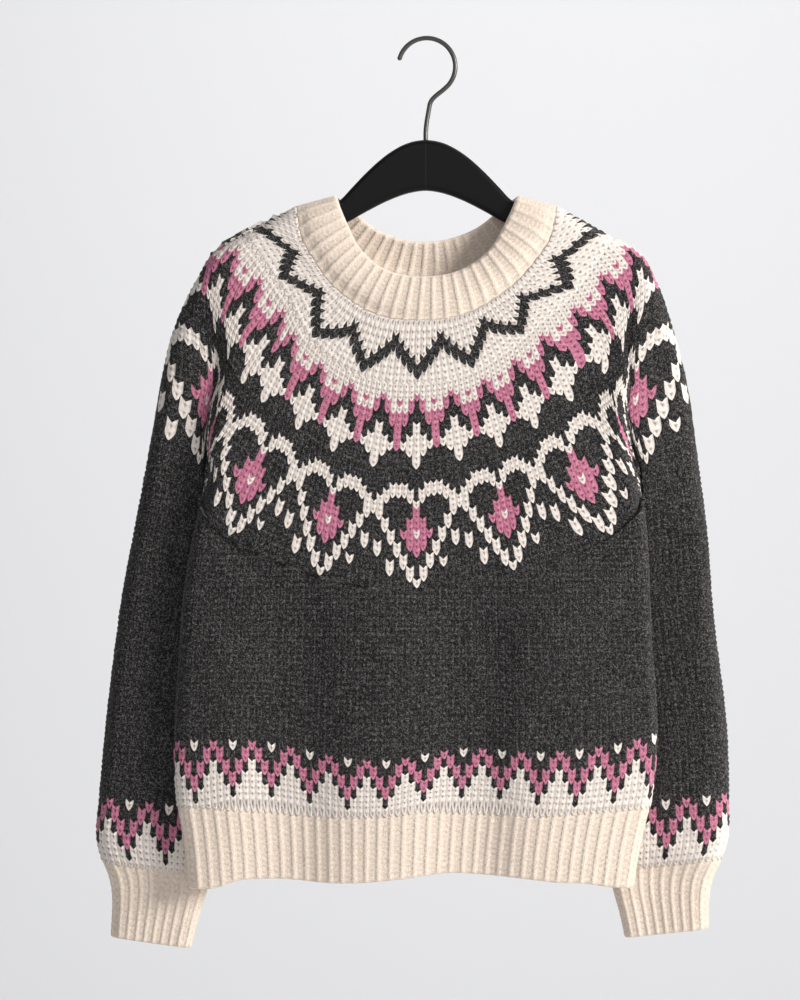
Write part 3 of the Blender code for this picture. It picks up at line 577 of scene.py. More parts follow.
def body_waves(points):
    """The body's cloth with its waves and creases, the yoke's lower part included."""
    x, y, z = points[..., 0], points[..., 1], points[..., 2]
    low = ease((WAVES_FROM - z) / (WAVES_FROM - WAVES_FULL))
    from_edge = np.clip((BODY_EDGE_Y - y) / EDGE_SOFT, -1, 1)
    front = smooth(x, *zip(*FRONT_WAVES)) * low + troughs(x, z, FRONT_TROUGHS)
    back = smooth(x, *zip(*BACK_WAVES)) * low - troughs(x, z, BACK_TROUGHS)
    moved = np.where(from_edge > 0, front * from_edge, -back * from_edge)
    return points + moved[..., None] * np.array([0, 1, 0])


def sleeve_waves(points, side):
    x, y, z = np.abs(points[..., 0]), points[..., 1], points[..., 2]
    low = ease((SLEEVE_WAVES_FROM - z) / (SLEEVE_WAVES_FROM - SLEEVE_WAVES_FULL))
    from_edge = np.clip((sleeve_middle(z) - y) / EDGE_SOFT, -1, 1)
    swing = smooth(x, *zip(*SLEEVE_WAVES[side])) * low
    moved = swing + troughs(x, z, SLEEVE_TROUGHS[side]) * from_edge
    return points + moved[..., None] * np.array([0, 1, 0])


# Charts ------------
def chart_of(*rows):
    """Rows of letters from the top, as yarns."""
    letters = {"c": CREAM, ".": CHARCOAL, "p": PINK}
    return np.array([[letters[stitch] for stitch in row] for row in rows])


# Half repeats, read outwards from their middle column and back again.
ZIGZAG = chart_of("ccccc", "ccccc", "cccc.", "ccc..", "cc..c", "c..cc", "..ccc", ".cccc", "ccccc")
# From the middle of a white diamond outwards to the pink stem between two.
DIAMONDS = chart_of("cccc", "cccc", "cccc", "pccc", ".pcp", ".pcc", "..pp", "..pp",
                    "c..p", "c..p", "cc.p", "cccp", "cc..", "c...", "c...", "....")
# From the middle of a peak outwards to the valley.
EDGING = chart_of("p..c", ".p..", ".p..", "c.p.", "c.p.", "cc.p", "cc.p", "ccc.", "ccc.")
EDGING_ROWS = len(EDGING) + 2  # with a plain row above and below
# A whole repeat; its heart stands on the seventh column.
HEART = chart_of("..ccc...ccc...",
                 ".ccccc.ccccc..",
                 "cc...c.c...cc.",
                 "c.....c.....cc",
                 "c.....p.....cc",
                 "c.....p.....c.",
                 ".c...ppp...c..",
                 ".c...ppp...c..",
                 "..c.ppcpp.c...",
                 "..c..ppp..c.c.",
                 "c..c.ppp.c..c.",
                 "c..c..p..c....",
                 "....c...c.....",
                 "..c.c...c.c...",
                 "..c..c.c......",
                 ".....c.c......",
                 "......c.......")
HEART_MIDDLE = 6


def read_mirrored(chart, stitch, row):
    period = 2 * (chart.shape[1] - 1)
    column = stitch % period
    column = np.minimum(column, period - column)
    return chart[np.clip(row, 0, len(chart) - 1), column]


def neck_chart(stitch, row):
    return read_mirrored(ZIGZAG, stitch, row)


def diamond_chart(stitch, row):
    """The knitter lost two stitches of a repeat on the -X shoulder; the back takes them up."""
    left, half = DIAMOND_STITCHES - stitch, DIAMOND_STITCHES // 2
    slipped = np.where(left >= SLIP, np.minimum(left + LOST, half), left)
    stitch = np.where(left < half, slipped, stitch)
    return read_mirrored(DIAMONDS, stitch, row + NECK_BAND - DIAMOND_START)


def hearts_chart(stitch, row):
    row = row + DIAMOND_BAND - HEART_START
    rows, period = HEART.shape
    hearts = HEART[np.clip(row, 0, rows - 1), (stitch + HEART_MIDDLE) % period]
    return np.where((row >= 0) & (row < rows), hearts, CHARCOAL)


def edging_chart(rows, phase):
    """Charcoal above the zigzag edging, which stands on one plain cream row."""
    last = rows - 1
    first = last - len(EDGING)

    def read(stitch, row):
        edging = read_mirrored(EDGING, stitch + phase, row - first)
        return np.where(row < first, CHARCOAL, np.where(row < last, edging, CREAM))
    return read


def plain(yarn):
    return lambda stitch, row: np.full(np.broadcast(stitch, row).shape, yarn)


# Knitting ------------
def normals_of(grid):
    """Outwards from rings that run round a tube."""
    around = np.roll(grid, -1, axis=1) - np.roll(grid, 1, axis=1)
    return unit(np.cross(np.gradient(grid, axis=0), around))


def bloomed(u, v, yarns, bloom):
    """Lets light stitches swell over the edges that they share with charcoal ones, or, with
    a negative bloom, the charcoal ones over these."""
    light = np.where(yarns == CHARCOAL, 0.0, 1.0)
    beside = np.repeat(np.roll(light, 1, axis=1) - light, 3, axis=0)[:, ::4] * bloom
    shift, grown = np.zeros_like(u), np.zeros_like(v)
    shift[:-1, ::4] = beside
    shift[-1, ::4] = beside[-1]
    grown[3:-3:3] = (light[:-1] - light[1:]) * bloom
    return u + shift, v + grown


def knit_points(place, stitches, rows, tucked, yarns=None, bloom=0):
    """A grid of points round a knitted tube, with normals, base points, heights, and the painted
    shade that darkens its hollows.
    Without yarns it is knitted as rib, which doesn't hang over its last row."""
    rib = yarns is None
    first = -1 if tucked else 0
    b = np.arange(3 * (rows - first) + 1)
    a = np.arange(4 * stitches)
    in_stitch, in_row = a % 4, b % 3
    stitch, row = a // 4, b // 3
    purl = rib & (stitch % 2 == 1)
    base_u = np.broadcast_to(a / 4, (len(b), len(a)))
    base_v = np.broadcast_to((first + row + POINT_ROWS[in_row])[:, None], base_u.shape)
    free = np.minimum(1, b / 3) * (np.minimum(1, b[::-1] / 3) if rib else 1)
    v = base_v + ZIG * TIPS[in_stitch] * np.where(purl & (in_stitch > 0), 0, 1) * free[:, None]
    u = base_u + LEG_TILT[in_row][:, None] * LEGS[in_stitch] * np.where(purl, 0, 1)
    base = place(base_u, base_v)
    points_of = in_stitch, in_row[:, None]
    if rib:
        u = u + RIB_PINCH * np.where(in_stitch > 0, 0, np.where(stitch % 2 == 0, 1, -1))
        height = np.where(purl, RIB_PURL_STITCH[points_of], RIB_KNIT_STITCH[points_of])
        relief = RIB_HEIGHT
        # Painted shade in the rib's hollows, most where the purl stitches lie sunk.
        hollow_shade = np.where(purl, PURL_SHADE, KNIT_SHADE) * RIB_HOLLOW_SHADE[points_of]
    else:
        u, v = bloomed(u, v, yarns, bloom)
        height = STOCKING[points_of] - SUNK
        relief = RELIEF
        # Painted shade in the hollows of the stocking stitch, most in each V's middle.
        hollow_shade = STOCKING_HOLLOW_SHADE[points_of]
    plump = np.clip(rng.normal(0, PLUMP, (row[-1] + 1, stitches)), -PLUMP_LIMIT, PLUMP_LIMIT)
    height = (height + plump[row][:, stitch] * PLUMP_SHARE) * relief
    if tucked:
        shown = ease((v - TUCK_FROM) / TUCK_ROWS)
        height = height * shown - TUCK * (1 - shown)
    return place(u, v), normals_of(base), base, height, hollow_shade


def add_object(name, data):
    obj = bpy.data.objects.new(name, data)
    bpy.context.scene.collection.objects.link(obj)
    return obj


def ring_mesh(name, rings, yarns, hollow_shades):
    """A closed mesh from a torus of rings of points; rings that meet are merged."""
    count, around = rings.shape[:2]
    index = np.arange(count * around).reshape(count, around)
    target = index.ravel().copy()
    meets = np.linalg.norm(rings[1:] - rings[:-1], axis=2) < MERGE_DISTANCE
    for r in range(count - 2, -1, -1):
        target[index[r][meets[r]]] = target[index[r + 1][meets[r]]]
    corners = ((0, 0), (1, 0), (1, 1), (0, 1))      # of a face: rings down, points on
    faces = target[np.stack([np.roll(index, (-down, -on), axis=(0, 1)).ravel()
                             for down, on in corners], axis=1)]
    u, v = np.meshgrid(np.arange(around) / around, 1 - np.arange(count) / count)
    uv = np.stack([u, v], -1)[:, :, None] + [(on / around, -down / count) for down, on in corners]
    keep = faces != np.roll(faces, -1, axis=1)
    real = keep.sum(axis=1) >= 3
    used, vertex = np.unique(faces[real], return_inverse=True)
    polygons = [corner[kept].tolist() for corner, kept in zip(vertex.reshape(-1, 4), keep[real])]
    mesh = bpy.data.meshes.new(name)
    mesh.from_pydata(rings.reshape(-1, 3)[used] * MM, [], polygons)
    mesh.shade_smooth()
    for material in WOOLS:
        mesh.materials.append(material)
    mesh.polygons.foreach_set("material_index", yarns.ravel()[real].astype(np.int32))
    uv = uv.reshape(-1, 4, 2)[real][keep[real]].astype(np.float32)
    # Painted shade of the hollows, kept on the points for the wool materials; the inside has none.
    hollow_shade = np.zeros(rings.shape[:2])
    hollow_shade[:len(hollow_shades)] = hollow_shades
    mesh.attributes.new("hollow_shade", "FLOAT", "POINT").data.foreach_set(
        "value", hollow_shade.ravel()[used].astype(np.float32))
    mesh.uv_layers.new(name="OFBake").data.foreach_set("uv", uv.ravel())
    return add_object(name, mesh)


def rounded_lip(outer, before, inner, thickness, parts):
    """Rings of a wall's rounded edge, from its outer ring, which follows another, inwards."""
    out = unit(outer - before)
    return np.array([outer * (1 - part) + inner * part
                     + out * math.sin(part * math.pi) * thickness / 2 for part in parts])


def knit_tube(name, place, stitches, rows, drape, chart=None, inside=CHARCOAL, tucked=True,
              bloom=BLOOM):
    """A knitted tube: stitches outside, plain inside, its ends closed. Without a chart it is
    cream rib with a rounded lip at its foot."""
    rib = chart is None
    thickness = RIB_KNIT if rib else KNIT
    first = -1 if tucked else 0
    stitch = np.arange(4 * stitches) // 4
    row = np.maximum(np.arange(3 * (rows - first)) // 3 + first, 0)
    yarn = (chart or plain(RIB_CREAM))(stitch[None], row[:, None])
    points, normal, base, height, hollow_shade = knit_points(
        place, stitches, rows, tucked, None if rib else yarn[::3], bloom)
    outer = leaning(drape(points + normal * height[..., None]))
    inner_rows = np.unique(np.append(np.arange(0, len(outer), INNER_STEP), len(outer) - 1))
    inner = leaning(drape(base[inner_rows] - normal[inner_rows] * thickness))
    rings, yarns = [outer, inner[::-1]], [yarn, np.full((len(inner) + 1, len(stitch)), inside)]
    if rib:
        lip = rounded_lip(outer[-1], outer[-4], inner[-1], thickness, LIP_PARTS)
        rings.insert(1, lip)
        yarns.insert(1, np.repeat(yarn[-1:], len(lip), axis=0))
    return ring_mesh(name, np.concatenate(rings), np.concatenate(yarns), hollow_shade)


# Materials ------------
def new_material(name):
    material = bpy.data.materials.new(name)
    material.use_nodes = True
    tree = material.node_tree
    return material, tree, tree.nodes["Principled BSDF"]


def fill(tree, node, sockets):
    """Sets a node's inputs by name, or links them where the value is another's output."""
    for name, value in sockets.items():
        if isinstance(value, bpy.types.NodeSocket):
            tree.links.new(value, node.inputs[name])
        else:
            node.inputs[name].default_value = value


def add_node(tree, kind, output, sockets, **settings):
    """A new node's output."""
    node = tree.nodes.new("ShaderNode" + kind)
    for name, value in settings.items():
        setattr(node, name, value)
    fill(tree, node, sockets)
    return node.outputs[output]


def ramp(tree, factor, stops):
    output = add_node(tree, "ValToRGB", "Color", {"Fac": factor})
    elements = output.node.color_ramp.elements
    while len(elements) < len(stops):
        elements.new(0.5)
    for element, (place, colour) in zip(elements, stops):
        element.position = place
        element.color = (*colour, 1.0)
    return output


def wool(name, stops, hollow_shade_colour, sheen, sheen_tint):
    """Yarn: fibres mixed along a colour ramp, with a fine fibrous bump and a soft sheen; a painted
    shade colour darkens the hollows between and inside the stitches.
    """
    material, tree, shader = new_material(name)
    coords = add_node(tree, "TexCoord", "Object", {})
    fine, coarse = (add_node(tree, "TexNoise", "Fac", {"Scale": scale, "Detail": 2.0,
                                                       "Roughness": rough, "Vector": coords})
                    for scale, rough in ((900.0, 0.7), (380.0, 0.6)))
    mixed = add_node(tree, "Mix", "Result", {"Factor": 0.3, "A": fine, "B": coarse},
                     data_type="FLOAT")
    colour = ramp(tree, mixed, stops)
    # Painted shade: the attribute darkens the colour towards the hollow colour where shade falls
    # between stitches.
    hollow_shade = add_node(tree, "Attribute", "Fac", {}, attribute_name="hollow_shade")
    colour_with_painted_shade = add_node(tree, "Mix", "Result",
                        {"Factor": hollow_shade, "A": colour, "B": (*hollow_shade_colour, 1.0)},
                        data_type="RGBA")
    bump = add_node(tree, "Bump", "Normal", {"Strength": 0.6, "Distance": 0.0012, "Height": fine})
    fill(tree, shader, {"Base Color": colour_with_painted_shade, "Roughness": 0.95, "Specular IOR Level": 0.12,
                        "Sheen Weight": sheen, "Sheen Roughness": 0.5,
                        "Sheen Tint": (*sheen_tint, 1.0), "Normal": bump})
    return material


def black_wood():
    """Satin black, with the hairline where the two halves of the wood meet."""
    material, tree, shader = new_material("black_lacquer")
    coords = add_node(tree, "TexCoord", "Object", {})
    x = add_node(tree, "SeparateXYZ", "X", {"Vector": coords})
    across = add_node(tree, "MapRange", "Result", {"Value": x, "From Min": (STEM_X - 2) * MM,
                                                   "From Max": (STEM_X + 2) * MM})
    black, worn = (0.0042, 0.0038, 0.0038), (0.06, 0.022, 0.012)
    seam = ramp(tree, across, ((0, black), (0.44, black), (0.5, worn), (0.56, black)))
    fill(tree, shader, {"Base Color": seam, "Roughness": 0.42, "Specular IOR Level": 0.16})
    return material


def plain_material(name, colour, roughness, metallic=0.0):
    material, tree, shader = new_material(name)
    fill(tree, shader, {"Base Color": (*colour, 1), "Roughness": roughness,
                        "Metallic": metallic})
    return material


# In the order of the yarns' numbers: name, colour ramp, painted shade colour for the hollows,
# sheen and the sheen's tint.
WOOLS = (
    wool("cream_yarn", ((0.32, (0.74, 0.64, 0.57)), (0.5, (0.93, 0.84, 0.77)),
                        (0.70, (0.98, 0.92, 0.86))), (0.18, 0.14, 0.12), 0.3, (1.0, 0.96, 0.92)),
    wool("charcoal_yarn", ((0.38, (0.005, 0.0045, 0.0045)), (0.5, (0.026, 0.0245, 0.0245)),
                           (0.62, (0.17, 0.162, 0.160))), (0.004, 0.004, 0.004), 0.14,
         (0.9, 0.87, 0.85)),
    wool("pink_yarn", ((0.32, (0.40, 0.11, 0.18)), (0.5, (0.62, 0.21, 0.32)),
                       (0.70, (0.78, 0.38, 0.49))), (0.09, 0.02, 0.04), 0.28, (1.0, 0.85, 0.9)),
    wool("rib_cream_yarn", ((0.32, (0.65, 0.525, 0.42)), (0.5, (0.83, 0.70, 0.585)),
                            (0.70, (0.97, 0.87, 0.77))), (0.30, 0.21, 0.15), 0.3,
         (1.0, 0.95, 0.9)),
)


# The sweater ------------
def yoke_band(name, first, last, stitches, chart, inside=CHARCOAL):
    """Rows of the yoke with one count of stitches; stitch 0 has its middle at the front."""
    def place(u, v):
        row = np.interp(first + v, *zip(*ROW_WARP))
        below = np.maximum(first + v - YOKE_ROWS, 0)     # tips that hang past the last row
        points = yoke_surface(row, (u - 0.5) / stitches * HEARTS)
        points[..., 2] -= below * ROW_HEIGHT
        return points
    return knit_tube(name, place, stitches, last - first, body_waves, chart, inside,
                     tucked=first > 0, bloom=BLOOM if first > 0 else NECK_BLOOM)


def body_place(u, z):
    """Points of the body: u counts stitches from the centre back, z is their height."""
    share = u / BODY_STITCHES % 1
    points = BODY_TUBE(1 - np.abs(2 * share - 1), z)
    points[..., 0] *= np.where(share > 0.5, -1, 1)
    return points


def edging_heights(x):
    """Heights of the edging's first row line, its valleys and the rib's top at x."""
    places, *levels = np.array(HEM_WAVES).T
    peaks, valleys, rib = (smooth(x, places, level) for level in levels)
    row = (peaks - valleys) / (PEAK_TO_VALLEY[1] - PEAK_TO_VALLEY[0])
    return peaks + PEAK_TO_VALLEY[0] * row, valleys, rib


EDGING_TOP_Z = float(np.mean(edging_heights(np.linspace(-200, 200, 41))[0]))


def edging_over(u):
    """The same by stitches round the body."""
    return edging_heights(body_place(u, np.full_like(u, EDGING_TOP_Z))[..., 0])


def knit_body():
    """The edging band above the hem's rib, and the plain charcoal rows over it."""
    rows = math.ceil((UNDERARM_Z + TUCKED_UNDER - EDGING_TOP_Z) / BODY_ROW)

    def band(u, v):
        top, valleys, rib = edging_over(u)
        low = PEAK_TO_VALLEY[1]
        z = np.where(v < low, top + (valleys - top) * v / low,
                     valleys + (rib - valleys) * (v - low) / (EDGING_ROWS - low))
        return body_place(u, np.where(v > EDGING_ROWS, rib - (v - EDGING_ROWS) * BODY_ROW, z))

    def seam_over(points):
        return top_height(BODY_TOP, points[..., 0], points[..., 1] < BODY_EDGE_Y)

    def upper(u, v):
        height = (rows - v) * BODY_ROW
        wave = (edging_over(u)[0] - EDGING_TOP_Z) * (1 - ease(height / HEM_WAVE_FADE))
        z = limit = EDGING_TOP_Z + height + wave
        for _ in range(3):
            limit = seam_over(body_place(u, np.minimum(z, limit))) + TUCKED_UNDER
        z = np.minimum(z, limit)
        points = body_place(u, z)
        under = ease((z - seam_over(points) + SEAM_EASE) / TUCKED_UNDER)
        inwards = np.where(points[..., 1] < BODY_EDGE_Y, 1, -1)
        points[..., 1] += TUCK * SEAM_PUSH * under * inwards
        return points
    return [knit_tube("body_edging", band, BODY_STITCHES, EDGING_ROWS, body_waves,
                      edging_chart(EDGING_ROWS, BODY_PHASE)),
            knit_tube("body_knit", upper, BODY_STITCHES, rows, body_waves, plain(CHARCOAL),
                      tucked=False)]


def knit_hem():
    """Rib from the edging down to the hem's own line."""
    line_x, line_z = np.array(HEM_LINE).T

    def place(u, v):
        z = np.full_like(u, HEM_TOP_Z)
        for _ in range(3):
            x = body_place(u, z)[..., 0]
            top = edging_heights(x)[2]
            z = top + (smooth(x, line_x, line_z) - top) * v / HEM_ROWS
        return body_place(u, z)
    return knit_tube("hem_rib_knit", place, BODY_STITCHES, HEM_ROWS, body_waves,
                     inside=RIB_CREAM)


def sleeve_place(u, z, side):
    """Points of a sleeve: side is 1 for the one on +X and -1 for the other."""
    share = (u - SLEEVE_OFFSET[side]) / SLEEVE_STITCHES % 1
    points = SLEEVE_TUBE(share if side > 0 else 1 - share, z)
    points[..., 0] *= side
    return points


def sleeve_share(points):
    """How far across the sleeve points lie: 0 at its inner edge, 1 at its outer one."""
    x, z = np.abs(points[..., 0]), points[..., 2]
    outer, inner = by_height(SLEEVE_OUTER, z), by_height(SLEEVE_INNER, z)
    return np.clip((x - inner) / (outer - inner), 0, 1)


def knit_sleeve(side, name):
    def place(u, v):
        share = np.interp(v, (0, SLEEVE_ROWS - EDGED_ROWS, SLEEVE_ROWS), (0, 1 - EDGING_SHARE, 1))
        share = share + np.minimum(v, 0) / SLEEVE_ROWS
        share = share + np.maximum(v - SLEEVE_ROWS, 0) / OVERHANG_ROWS
        z = np.full_like(u, SLEEVE_START_Z)
        for _ in range(4):
            p = sleeve_place(u, z, side)
            top = top_height(SLEEVE_TOP, np.abs(p[..., 0]), p[..., 1] < sleeve_middle(p[..., 2]))
            bottom = sleeve_course_z(CUFF_TOP_Z + side * CUFF_LIFTS[0], sleeve_share(p))
            z = top + (bottom - top) * share
        return sleeve_place(u, z, side)
    return knit_tube(name, place, SLEEVE_STITCHES, SLEEVE_ROWS,
                     lambda points: sleeve_waves(points, side),
                     edging_chart(SLEEVE_ROWS, SLEEVE_PHASE[side]))


def knit_cuff(side, name):
    def place(u, v):
        top, bottom = CUFF_TOP_Z + side * CUFF_LIFTS[0], CUFF_BOTTOM_Z + side * CUFF_LIFTS[1]
        height = top + (bottom - top) * v / CUFF_ROWS
        z = height
        for _ in range(3):
            z = sleeve_course_z(height, sleeve_share(sleeve_place(u, z, side)))
        return sleeve_place(u, z, side)
    return knit_tube(name, place, SLEEVE_STITCHES, CUFF_ROWS,
                     lambda points: sleeve_waves(points, side), inside=RIB_CREAM)


def collar_table():
    """Even rings of the collar, from its top edge down to the neck seam."""
    places = np.linspace(0, HALF, 361)
    seam = yoke_surface(np.array(0.0), places)
    top_x, top_z = course_xz(COLLAR_TOP, places)
    ridge, ends_x, ends_z = np.array((COURSES[0][1], COLLAR_TOP[1])).T
    side = np.where(places <= ridge[0], -1, 1)
    rings = []
    for part in np.linspace(1, 0, COLLAR_LEVELS):
        x = seam[:, 0] + (top_x - seam[:, 0]) * part
        z = seam[:, 2] + (top_z - seam[:, 2]) * part
        inside = inside_distance(x, z, (ends_x, ends_z))
        bulge = SLEEVE_SWELL + COLLAR_BULGE * math.sin(part * math.pi)
        depth = (COLLAR_RIDGE_DEPTH * quarter_round(inside / COLLAR_RIDGE_DEPTH)
                 + bulge * swelling(inside, COLLAR_SLOPE))
        y = seam[:, 1] + (side * depth - seam[:, 1]) * ease(part / COLLAR_OWN)
        half = np.stack([x, y, z], axis=1)
        ring = np.concatenate([half, half[-2::-1] * np.array([-1.0, 1.0, 1.0])])
        run = run_along(ring)
        at = np.linspace(0, run[-1], COLLAR_SAMPLES + 1)
        rings.append(np.stack([np.interp(at, run, ring[:, k]) for k in range(3)], axis=1))
    return np.array(rings)


def knit_collar():
    """Folded double, so both of its sides are rib."""
    table = collar_table()

    def place(u, v):
        level = np.clip(v / COLLAR_ROWS, 0, 1) * (COLLAR_LEVELS - 1)
        return between(table, level, (u - 0.5) / COLLAR_STITCHES % 1 * COLLAR_SAMPLES)

    points, normal, _, height, hollow_shade = knit_points(place, COLLAR_STITCHES, COLLAR_ROWS, False)
    outer = leaning(points + normal * height[..., None])
    inner = leaning(points - normal * (COLLAR_KNIT + height)[..., None])
    lip = rounded_lip(outer[0], outer[3], inner[0], COLLAR_KNIT, COLLAR_LIP_PARTS)
    rings = np.concatenate([outer, inner[::-1], lip])
    # Both faces of the collar carry the rib's painted shade in their hollows.
    hollow_shades = np.concatenate([hollow_shade, hollow_shade[::-1]])
    return ring_mesh("collar_knit", rings, np.full(rings.shape[:2], RIB_CREAM), hollow_shades)


cloth = {
    "yoke": [yoke_band("yoke_neck_band", 0, NECK_BAND, NECK_STITCHES, neck_chart, CREAM),
             yoke_band("yoke_diamond_band", NECK_BAND, DIAMOND_BAND, DIAMOND_STITCHES,
                       diamond_chart),
             yoke_band("yoke_heart_band", DIAMOND_BAND, YOKE_ROWS, HEART_STITCHES,
                       hearts_chart)],
    "body": knit_body(),
    "hem_rib": [knit_hem()],
    "sleeve_left": [knit_sleeve(-1, "sleeve_left_knit")],
    "sleeve_right": [knit_sleeve(1, "sleeve_right_knit")],
    "cuff_left": [knit_cuff(-1, "cuff_left_knit")],
    "cuff_right": [knit_cuff(1, "cuff_right_knit")],
    "collar": [knit_collar()],
}
# Each piece hangs from the root, and the imported part that it replaces is hidden.
for node, pieces in cloth.items():
    for piece in pieces:
        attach(piece, "root")
        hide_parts(node)


# Hanger and hook ------------
def loft(name, rings, material):
    """A closed mesh through rings of points."""
    count, around = len(rings), len(rings[0])
    index = np.arange(count * around).reshape(count, around).tolist()
    faces = [(index[r][i], index[r][(i + 1) % around],
              index[r + 1][(i + 1) % around], index[r + 1][i])
             for r in range(count - 1) for i in range(around)]
    faces += [index[0][::-1], index[-1]]
    mesh = bpy.data.meshes.new(name)
    mesh.from_pydata((np.concatenate(rings) * MM).tolist(), [], faces)
    mesh.shade_smooth()
    mesh.materials.append(material)
    return add_object(name, mesh)


def arm_top():
    """x and z of the arm's top edge where it lies under the cloth."""
    line_x, line_z = RIDGE_LINE
    _, collar_x, collar_z = COLLAR_TOP[1]
    ridge_x = np.insert(line_x[:SHOULDER_SAMPLES], 0, collar_x)
    ridge_z = np.insert(line_z[:SHOULDER_SAMPLES], 0, collar_z)
    x = np.array(ARM_TOP_X, float)
    wall_above = np.where(x < ridge_x[1] + CLOSE_TO_SEAM, COLLAR_KNIT, KNIT)
    shoulder = np.interp(x, ridge_x, ridge_z)
    upright = np.sqrt(1 + np.gradient(shoulder, x)**2)
    return x, shoulder - (wall_above + WOOD_CLEARANCE) * upright


def wood_outline():
    """The outline of both halves, anticlockwise seen from the front, with even points."""
    lean = float(by_height(LEAN, SHOULDER_Z))
    arm_x, arm_z = arm_top()
    top = list(WOOD_TOP) + list(zip(arm_x + lean, arm_z))
    tip = [(ARM_END + lean + out, top[-1][1] - down) for out, down in ARM_TIP]
    lower_z = np.interp(ARM_LOWER_X, *zip(*top)) - np.interp(ARM_LOWER_X, *zip(*ARM_HEIGHT))
    lower = list(zip(ARM_LOWER_X, lower_z)) + list(WOOD_LOWER[::-1])
    edges = []
    for points, samples in ((np.array(lower[::-1]), 80), (np.array(top), 90)):
        x = np.linspace(0, points[-1, 0], samples)
        edges.append(np.stack([x, smooth(x, *points.T, (0, None))], axis=1))
    right = np.concatenate([edges[0], np.array(tip[::-1]), edges[1][::-1]])
    return np.concatenate([right, right[-2:0:-1] * np.array([-1, 1])])


def make_hanger():
    outline = wood_outline()
    along = np.roll(outline, -1, axis=0) - np.roll(outline, 1, axis=0)
    normal = unit(np.stack([along[:, 1], -along[:, 0]], axis=1))
    bevel = np.linspace(0, math.pi / 2, WOOD_BEVEL_RINGS)
    rings = []
    for sign, angles in ((-1, bevel), (1, bevel[::-1])):
        for angle in angles:
            x, z = (outline - normal * (1 - math.sin(angle)) * WOOD_BEVEL).T
            y = sign * (WOOD_THICK / 2 - WOOD_BEVEL * (1 - math.cos(angle)))
            rings.append(np.stack([x + STEM_X, np.full(len(x), y), z], axis=1))
    hanger = loft("hanger_wood", rings, black_wood())
    for face in hanger.data.polygons[-2:]:      # front and back
        face.use_smooth = False
    return hanger


def hook_route():
    """The wire's centre line from its tip over the crown, through the bend, to its foot."""
    centre_z = -HOOK_RADIUS + WIRE / 2
    angles = np.radians(np.linspace(HOOK_TIP_ANGLE, HOOK_END_ANGLE, 26))
    route = [(HOOK_RADIUS * math.cos(a), centre_z + HOOK_RADIUS * math.sin(a)) for a in angles]
    start, corner, end = (np.array(p) for p in STEM_BEND)
    for t in np.linspace(0, 1, 6):
        route.append(tuple((1 - t)**2 * start + 2 * t * (1 - t) * corner + t**2 * end))
    for z in (STEM_STRAIGHT_Z, STEM_STRAIGHT_Z - 3, WOOD_TOP[0][1] - STEM_DEPTH):
        route.append((STEM_X, z))
    return np.array(route)


def make_hook():
    route = hook_route()
    run = run_along(route)
    at = np.linspace(0, run[-1], HOOK_RINGS)
    centre = np.stack([smooth(at, run, route[:, k]) for k in (0, 1)], axis=1)
    along = unit(np.gradient(centre, axis=0))
    across = np.stack([-along[:, 1], along[:, 0]], axis=1)
    rounds = [(centre[0] - along[0] * WIRE / 2 * part, across[0], math.sqrt(1 - part * part))
              for part in CAP_PARTS]
    rounds += [(middle, side, 1) for middle, side in zip(centre, across)]
    turn = np.linspace(0, 2 * math.pi, HOOK_SIDES, endpoint=False)
    rings = []
    for middle, side, share in rounds:
        radius = WIRE / 2 * share
        out = radius * np.cos(turn)
        rings.append(np.stack([middle[0] + out * side[0], radius * np.sin(turn),
                               middle[1] + out * side[1]], axis=1))
    return loft("hook_wire", rings,
                plain_material("dark_steel", (0.10, 0.095, 0.09), 0.36, metallic=0.9))


for piece, node, slot in ((make_hanger(), "hanger", "black_wood"),
                          (make_hook(), "hook", "dark_wire")):
    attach(piece, "root")
    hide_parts(node)


# Stage, in metres ------------
FLOOR_REACH, FLOOR_Z = 8.0, -1.6
SWEEP_Y, SWEEP_RADIUS, BACKDROP_TOP = 3.6, 1.2, 4.0
# Name, place, aim, size, power and colour.
LIGHTS = (("key", (2.5, -1.6, 0.5), (0, 0, -0.45), 1.2, 118, (1.0, 0.985, 0.96)),
          ("fill", (-0.6, -3.0, 0.4), (0, 0, -0.45), 1.6, 11, (0.95, 0.97, 1.0)),
          ("wall_light", (0.4, 1.0, 2.2), (0.4, 4.6, -0.2), 2.5, 84, (1, 1, 1)))
CAMERA_X, CAMERA_Z = -0.02295, -0.3929
CAMERA_DISTANCE, CLOTH_Y = 2.6, -0.015
SENSOR_HEIGHT, FRAME_HEIGHT = 24, 0.85  # the sensor in millimetres, and what it sees


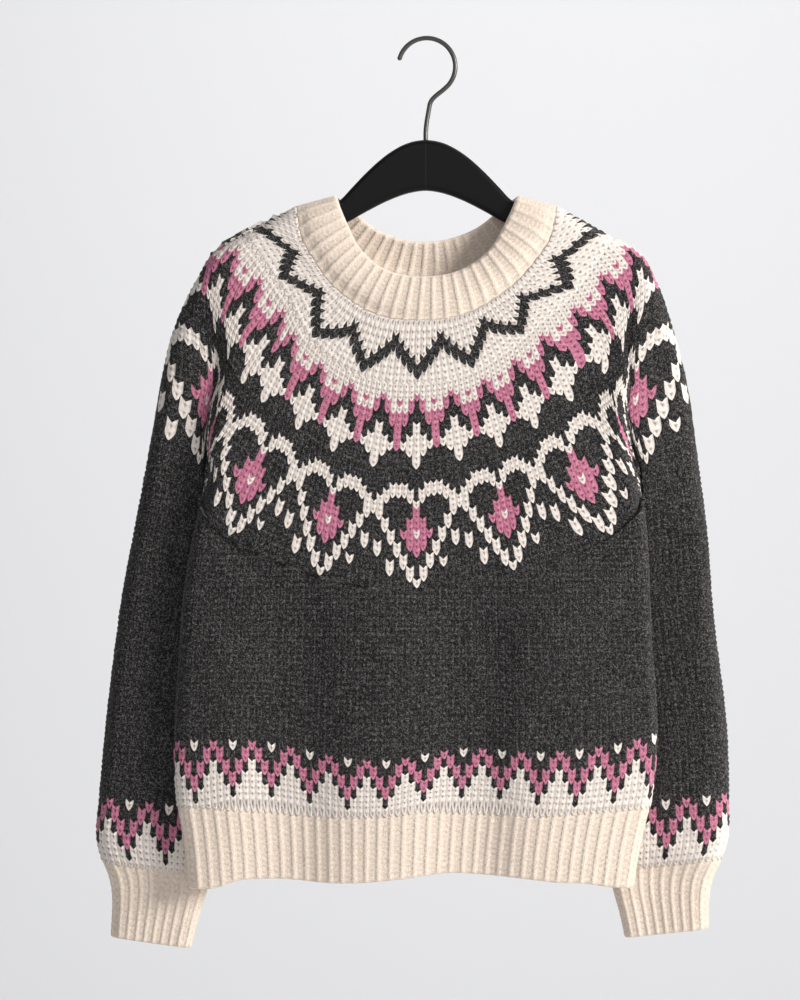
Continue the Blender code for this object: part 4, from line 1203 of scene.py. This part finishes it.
def stage():
    """A pale floor that sweeps up behind."""
    profile = [(-FLOOR_REACH, FLOOR_Z), (SWEEP_Y, FLOOR_Z)]
    profile += [(SWEEP_Y + SWEEP_RADIUS * math.sin(t),
                 FLOOR_Z + SWEEP_RADIUS * (1 - math.cos(t)))
                for t in np.linspace(0.1, math.pi / 2, 12)]
    profile += [(SWEEP_Y + SWEEP_RADIUS, BACKDROP_TOP)]
    verts = [(x, y, z) for x in (-FLOOR_REACH, FLOOR_REACH) for y, z in profile]
    n = len(profile)
    mesh = bpy.data.meshes.new("floor")
    mesh.from_pydata(verts, [], [(i, i + 1, n + i + 1, n + i) for i in range(n - 1)])
    mesh.shade_smooth()
    mesh.materials.append(plain_material("pale_floor", (0.86, 0.86, 0.87), 0.8))
    floor = add_object("floor", mesh)


def area_light(name, place, aim, size, power, colour):
    data = bpy.data.lights.new(name, "AREA")
    data.shape = "DISK"
    data.size = size
    data.energy = power
    data.color = colour
    lamp = add_object(name, data)
    lamp.location = place
    direction = np.array(aim) - np.array(place)
    flat = math.hypot(direction[0], direction[1])
    lamp.rotation_euler = (math.atan2(flat, -direction[2]), 0,
                           math.atan2(direction[1], direction[0]) - math.pi / 2)


def light_and_camera():
    scene = bpy.context.scene
    world = bpy.data.worlds.new("studio")
    world.use_nodes = True
    world.node_tree.nodes["Background"].inputs["Color"].default_value = (0.96, 0.97, 1.0, 1)
    world.node_tree.nodes["Background"].inputs["Strength"].default_value = 0.30
    scene.world = world
    for light in LIGHTS:
        area_light(*light)
    camera = bpy.data.cameras.new("camera")
    camera.sensor_fit = "VERTICAL"
    camera.sensor_height = SENSOR_HEIGHT
    camera.lens = SENSOR_HEIGHT * (CAMERA_DISTANCE + CLOTH_Y) / FRAME_HEIGHT
    obj = add_object("camera", camera)
    obj.location = (CAMERA_X, -CAMERA_DISTANCE, CAMERA_Z)
    obj.rotation_euler = (math.pi / 2, 0, 0)
    scene.camera = obj
    scene.view_settings.view_transform = "Standard"


stage()
light_and_camera()
